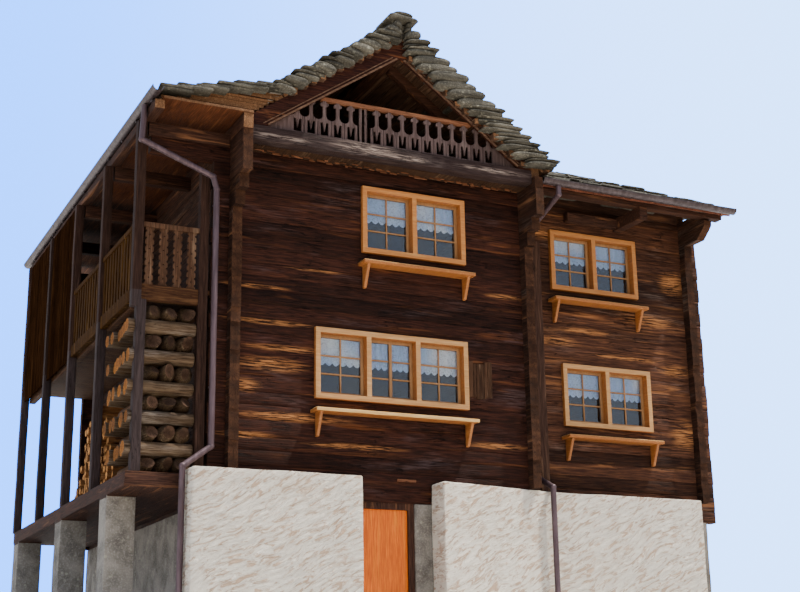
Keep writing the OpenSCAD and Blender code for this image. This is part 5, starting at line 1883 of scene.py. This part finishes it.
@dataclass
class Timbers:
    """Beams, boards and railings with worn edges, and the boards and battens nailed to them."""

    boarded: tuple[tuple[float, float], ...] = ((3.855, 5.5875), (5.7175, 7.45))
    rake_w: float = 0.31

    def boards(self) -> None:
        """Builds the upright boards of the closed gallery bays."""
        soup, dice = Soup(), Dice(101)
        low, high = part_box("gallery_boarding")
        for start, stop in self.boarded:
            y = start
            while y < stop - 0.03:
                wide = min(dice.of(0.14, 0.2), stop - y)
                x = low[0] + dice.near(0.004)
                prism(soup, (x, y + 0.002, low[2] + dice.of(0, 0.02)), (x + 0.03, y + wide - 0.002, high[2]), dice,
                      0.003, bevel=0.003)
                y += wide
        soup.build("gallery_boards", (BOARDING,), "log_timber", ("gallery_boarding",), smooth=0.5)

    def fringe(self) -> None:
        """Builds the ragged strips of lining that hang under the loft beam."""
        soup, dice = Soup(), Dice(102)
        x = -2.3
        while x < 2.1:
            wide = dice.of(0.02, 0.13)
            drop, y = dice.of(0.006, 0.045), dice.of(-0.12, -0.03)
            prism(soup, (x, y, WALL_TOP - drop), (x + wide, y + 0.008, WALL_TOP - drop + 0.012), dice, 0.005)
            prism(soup, (x, y + 0.01, WALL_TOP - drop * 0.6), (x + wide * 0.8, y + 0.02, WALL_TOP + 0.002), dice, 0.006)
            x += wide * dice.of(0.6, 1.3)
        soup.build("loft_fringe", (LOFT_RAIL,), "log_timber", smooth=0.5)

    def strips(self) -> None:
        """Builds the thin battens along the inner edges of the rake boards."""
        soup, dice = Soup(), Dice(104)
        for sign, tan, reach in ((-1, TAN_LEFT, 2.1), (1, TAN_RIGHT, 1.98)):
            length = math.hypot(reach, reach * tan)
            down = Vector((sign * reach / length, 0.0, -reach * tan / length))
            up = Vector((sign * reach * tan / length, 0.0, reach / length))
            for height, wide, front in ((0.012, 0.026, -0.438), (0.062, 0.014, -0.429)):
                start = Vector((0.0, 0.0, RIDGE_Z - self.rake_w)) + up * height + down * (0.05 + height)
                points, count = [], 12
                for k in range(count + 1):
                    centre = start + down * ((length - 0.08) * k / count)
                    for a, y in ((-wide / 2, front), (wide / 2, front), (wide / 2, -0.418), (-wide / 2, -0.418)):
                        sway = 0.003 * wave(k * 0.7, sign * 5 + height * 30)
                        points.append(tuple(centre + up * (a + sway) + Vector((0.0, y, 0.0))))
                soup.add(points, tube_faces(count + 1, 4), dice.near(0.5))
        soup.build("rake_strips", (STRIP,), "log_timber", smooth=0.5)

    def patch(self) -> None:
        """Builds the weathered upright boards nailed over the facade, and the short inlay by the base."""
        soup, dice = Soup(), Dice(103)
        x = 1.225
        while x < 1.6:
            wide = dice.of(0.05, 0.085)
            foot, head = 3.42 + dice.of(-0.05, 0.02), 3.93 + dice.near(0.03)
            prism(soup, (x, -0.022, foot), (x + wide - 0.006, 0.004, head), dice, 0.003, bevel=0.003)
            x += wide
        soup.build("facade_patch", (RAILING,), "log_timber", smooth=0.5)
        inlay = Soup()
        prism(inlay, (0.05, -0.014, 2.10), (0.34, 0.004, 2.135), dice, 0.001, bevel=0.002)
        inlay.build("facade_inlay", (LOFT_RAIL,), "log_timber", smooth=0.5)

    @staticmethod
    def shaded(face: Face) -> int:
        """Picks the darker finish, painted shade, for posts under the gallery's roof and beside the house."""
        middle = face.calc_center_median()
        return int(middle.z > 4.5 or middle.x > -3.2)

    def build(self) -> None:
        """Builds every timber part."""
        def cut(axis: int) -> Callable[[Face], int]:
            """Chooses the cut wood for faces across an axis."""
            return lambda face: 1 if abs(face.normal[axis]) > 0.8 else 0

        for piece in (
            Aged("loft_beam", (BEAM, CUT_WOOD), "grey_timber", 0.16, 0.014, 0.016, pick=cut(0)),
            Aged("loft_balustrade", (BALUSTERS, LOFT_RAIL), "grey_timber", 0.25, 0.003, 0.003,
                 pick=lambda face: 1 if face.calc_center_median().z > WALL_TOP + 0.22 + 0.572 else 0),
            Aged("loft_floor", (GREY_Y,), "grey_timber", 0.5, 0.003, 0.0),
            Aged("storey_floors", (DARK_Y,), "pine_timber", 0.6, 0.003, 0.0),
            Aged("rake_boards", (RAKE,), "log_timber", 0.2, 0.008, 0.006),
            Aged("rafters", (DARK_X,), "log_timber", 0.4, 0.008, 0.008),
            Aged("main_purlins", (DARK_Y, CUT_WOOD), "log_timber", 0.3, 0.012, 0.014, pick=cut(1)),
            Aged("wing_purlins", (DARK_X,), "log_timber", 0.25, 0.014, 0.016),
            Aged("wing_corner_board", (CORNER,), "grey_timber", 0.25, 0.004, 0.006),
            Aged("gallery_soffit", (SOFFIT, CUT_WOOD), "pine_timber", 0.5, 0.003, 0.004, pick=cut(1)),
            Aged("gallery_floor", (GALLERY_X,), "grey_timber", 0.3, 0.006, 0.008),
            Aged("gallery_posts", (GREY_Z, SHADED_Z), "grey_timber", 0.25, 0.007, 0.012, pick=self.shaded),
            Aged("gallery_plate", (DARK_Y, CUT_WOOD), "log_timber", 0.3, 0.01, 0.012, pick=cut(1)),
            Aged("gallery_consoles", (DARK_X,), "log_timber", 0.2, 0.01, 0.012),
            Aged("gallery_front_balustrade", (RAILING,), "pine_timber", 0.2, 0.003, 0.004),
            Aged("gallery_side_balustrade", (SIDE_RAIL,), "pine_timber", 0.4, 0.004, 0.004),
            Aged("lower_deck", (DARK_Y, RUBBLE, DARK_X), "grey_timber", 0.25, 0.008, 0.012,
                 pick=lambda face: 1 if face.calc_center_median().z < 1.84 else 2 if face.normal.y < -0.5 else 0),
            Aged("door_frame", (DARK_Z,), "pine_timber", 0.3, 0.003, 0.004),
        ):
            piece.build()
        self.boards()
        self.fringe()
        self.strips()
        self.patch()


@dataclass
class Studio:
    """Camera of the photograph, lights, sky and floor."""

    eye: Vector = field(default_factory=lambda: Vector((-8.345, -17.5, -0.80)))
    yaw: float = 25.86
    pitch: float = 16.12
    roll: float = -0.89
    focal_px: float = 1386.0
    width_px: float = 800.0
    sensor_mm: float = 36.0

    def camera(self) -> None:
        """Sets the camera at the photograph's place and angle."""
        data = bpy.data.cameras.new("photo_camera")
        data.sensor_width = self.sensor_mm
        data.lens = self.focal_px / self.width_px * self.sensor_mm
        data.clip_end = 200.0
        camera = bpy.data.objects.new("photo_camera", data)
        yaw, pitch, roll = (math.radians(a) for a in (self.yaw, self.pitch, self.roll))
        ahead = Vector((math.sin(yaw) * math.cos(pitch), math.cos(yaw) * math.cos(pitch), math.sin(pitch)))
        right = Vector((math.cos(yaw), -math.sin(yaw), 0.0))
        up = right.cross(ahead)
        turned_right = math.cos(roll) * right + math.sin(roll) * up
        turned_up = -math.sin(roll) * right + math.cos(roll) * up
        camera.matrix_world = Matrix.Translation(self.eye) @ Matrix(
            (turned_right, turned_up, -ahead)).transposed().to_4x4()
        bpy.context.scene.collection.objects.link(camera)
        bpy.context.scene.camera = camera

    def light(self, name: str, kind: str, energy: float, toward: Vector, size: float, rgb: RGB,
              place: Vector = Vector((0, 0, 20))) -> None:
        """Adds one light that shines along a direction.

        Args:
            name: Name of the light.
            kind: Blender's light type.
            energy: Strength.
            toward: Direction of the light.
            size: Sun angle in degrees, or side of the area light.
            rgb: Colour.
            place: Place of an area light.
        """
        data = bpy.data.lights.new(name, kind)
        data.energy = energy
        data.color = rgb
        if kind == "SUN":
            data.angle = math.radians(size)
        else:
            data.size = size
        lamp = bpy.data.objects.new(name, data)
        lamp.location = place
        lamp.rotation_mode = "QUATERNION"
        lamp.rotation_quaternion = toward.to_track_quat("-Z", "Y")
        bpy.context.scene.collection.objects.link(lamp)

    def sky(self) -> None:
        """Pale backdrop that turns faintly blue overhead."""
        world = bpy.data.worlds.new("pale_backdrop")
        world.use_nodes = True
        tree = world.node_tree
        tree.nodes.clear()
        g = Graph(tree)
        way = g.add("TexCoord").outputs["Generated"]
        high = g.add("SeparateXYZ", {0: way}).outputs["Z"]
        colour = g.mix(g.span(high, 0.0, 0.55), (0.93, 0.95, 0.98), (0.60, 0.75, 1.0))
        colour = g.mix(g.span(high, -0.12, 0.02), (0.98, 0.86, 0.70), colour)
        side = g.span(g.vector("DOT_PRODUCT", way, (0.9, -0.436, 0.0)), -0.3, 0.3)
        seen = g.mix(side, (0.14, 1.55, 7.0), (1.5, 3.2, 7.0))
        light = g.add("Background", {"Color": colour, "Strength": 1.35})
        view = g.add("Background", {"Color": seen, "Strength": 1.0})
        back = g.add("MixShader", {0: g.add("LightPath").outputs["Is Camera Ray"], 1: light.outputs[0],
                                   2: view.outputs[0]})
        out = g.add("OutputWorld")
        tree.links.new(back.outputs[0], out.inputs[0])
        bpy.context.scene.world = world

    def floor(self) -> None:
        """Pale plain floor that stays behind the photograph's lowest sight lines."""
        mesh = bpy.data.meshes.new("studio_floor")
        mesh.from_pydata([(-40, -6, 0), (45, -6, 0), (45, 45, 0), (-40, 45, 0)], [], [(0, 1, 2, 3)])
        plane = bpy.data.objects.new("studio_floor", mesh)
        bpy.context.scene.collection.objects.link(plane)
        material, g, shader, place = start_material("studio_floor")
        tint = g.mix(g.noise(place, 0.5, 3.0), (0.70, 0.69, 0.66), (0.74, 0.73, 0.71))
        g.set(shader, {"Base Color": tint, "Roughness": 0.9})
        mesh.materials.append(material)

    def build(self) -> None:
        """Builds the whole studio."""
        self.camera()
        self.sky()
        self.floor()
        self.light("high_sun", "SUN", 9.0, Vector((-0.42, 0.13, -0.95)), 1.5, (1.0, 0.94, 0.84))
        self.light("ground_bounce", "AREA", 1200.0, Vector((0.0, 0.35, 0.94)), 8.0, (1.0, 0.88, 0.74),
                   Vector((-1.0, -8.7, -1.35)))
        LOG.info("studio ready")


KEPT_FINISHES = {"window_glass": PANES, "door_leaf": DOOR, "gutters": GUTTER_METAL, "downpipes": PIPE_METAL}


def main() -> None:
    """Builds the studio and every sub-assembly in order."""
    logging.basicConfig(level=logging.INFO, format="%(name)s: %(message)s")
    noise.seed_set(7)
    Studio().build()
    Base().build()
    LogWalls().build()
    Timbers().build()
    Firewood().build()
    Roofs().build()
    Windows().build()
    for node, finish in KEPT_FINISHES.items():
        WORKSHOP.paint(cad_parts[node], finish)
        LOG.info("dressed %s in %s", node, finish.name)


if __name__ == "__main__":
    main()
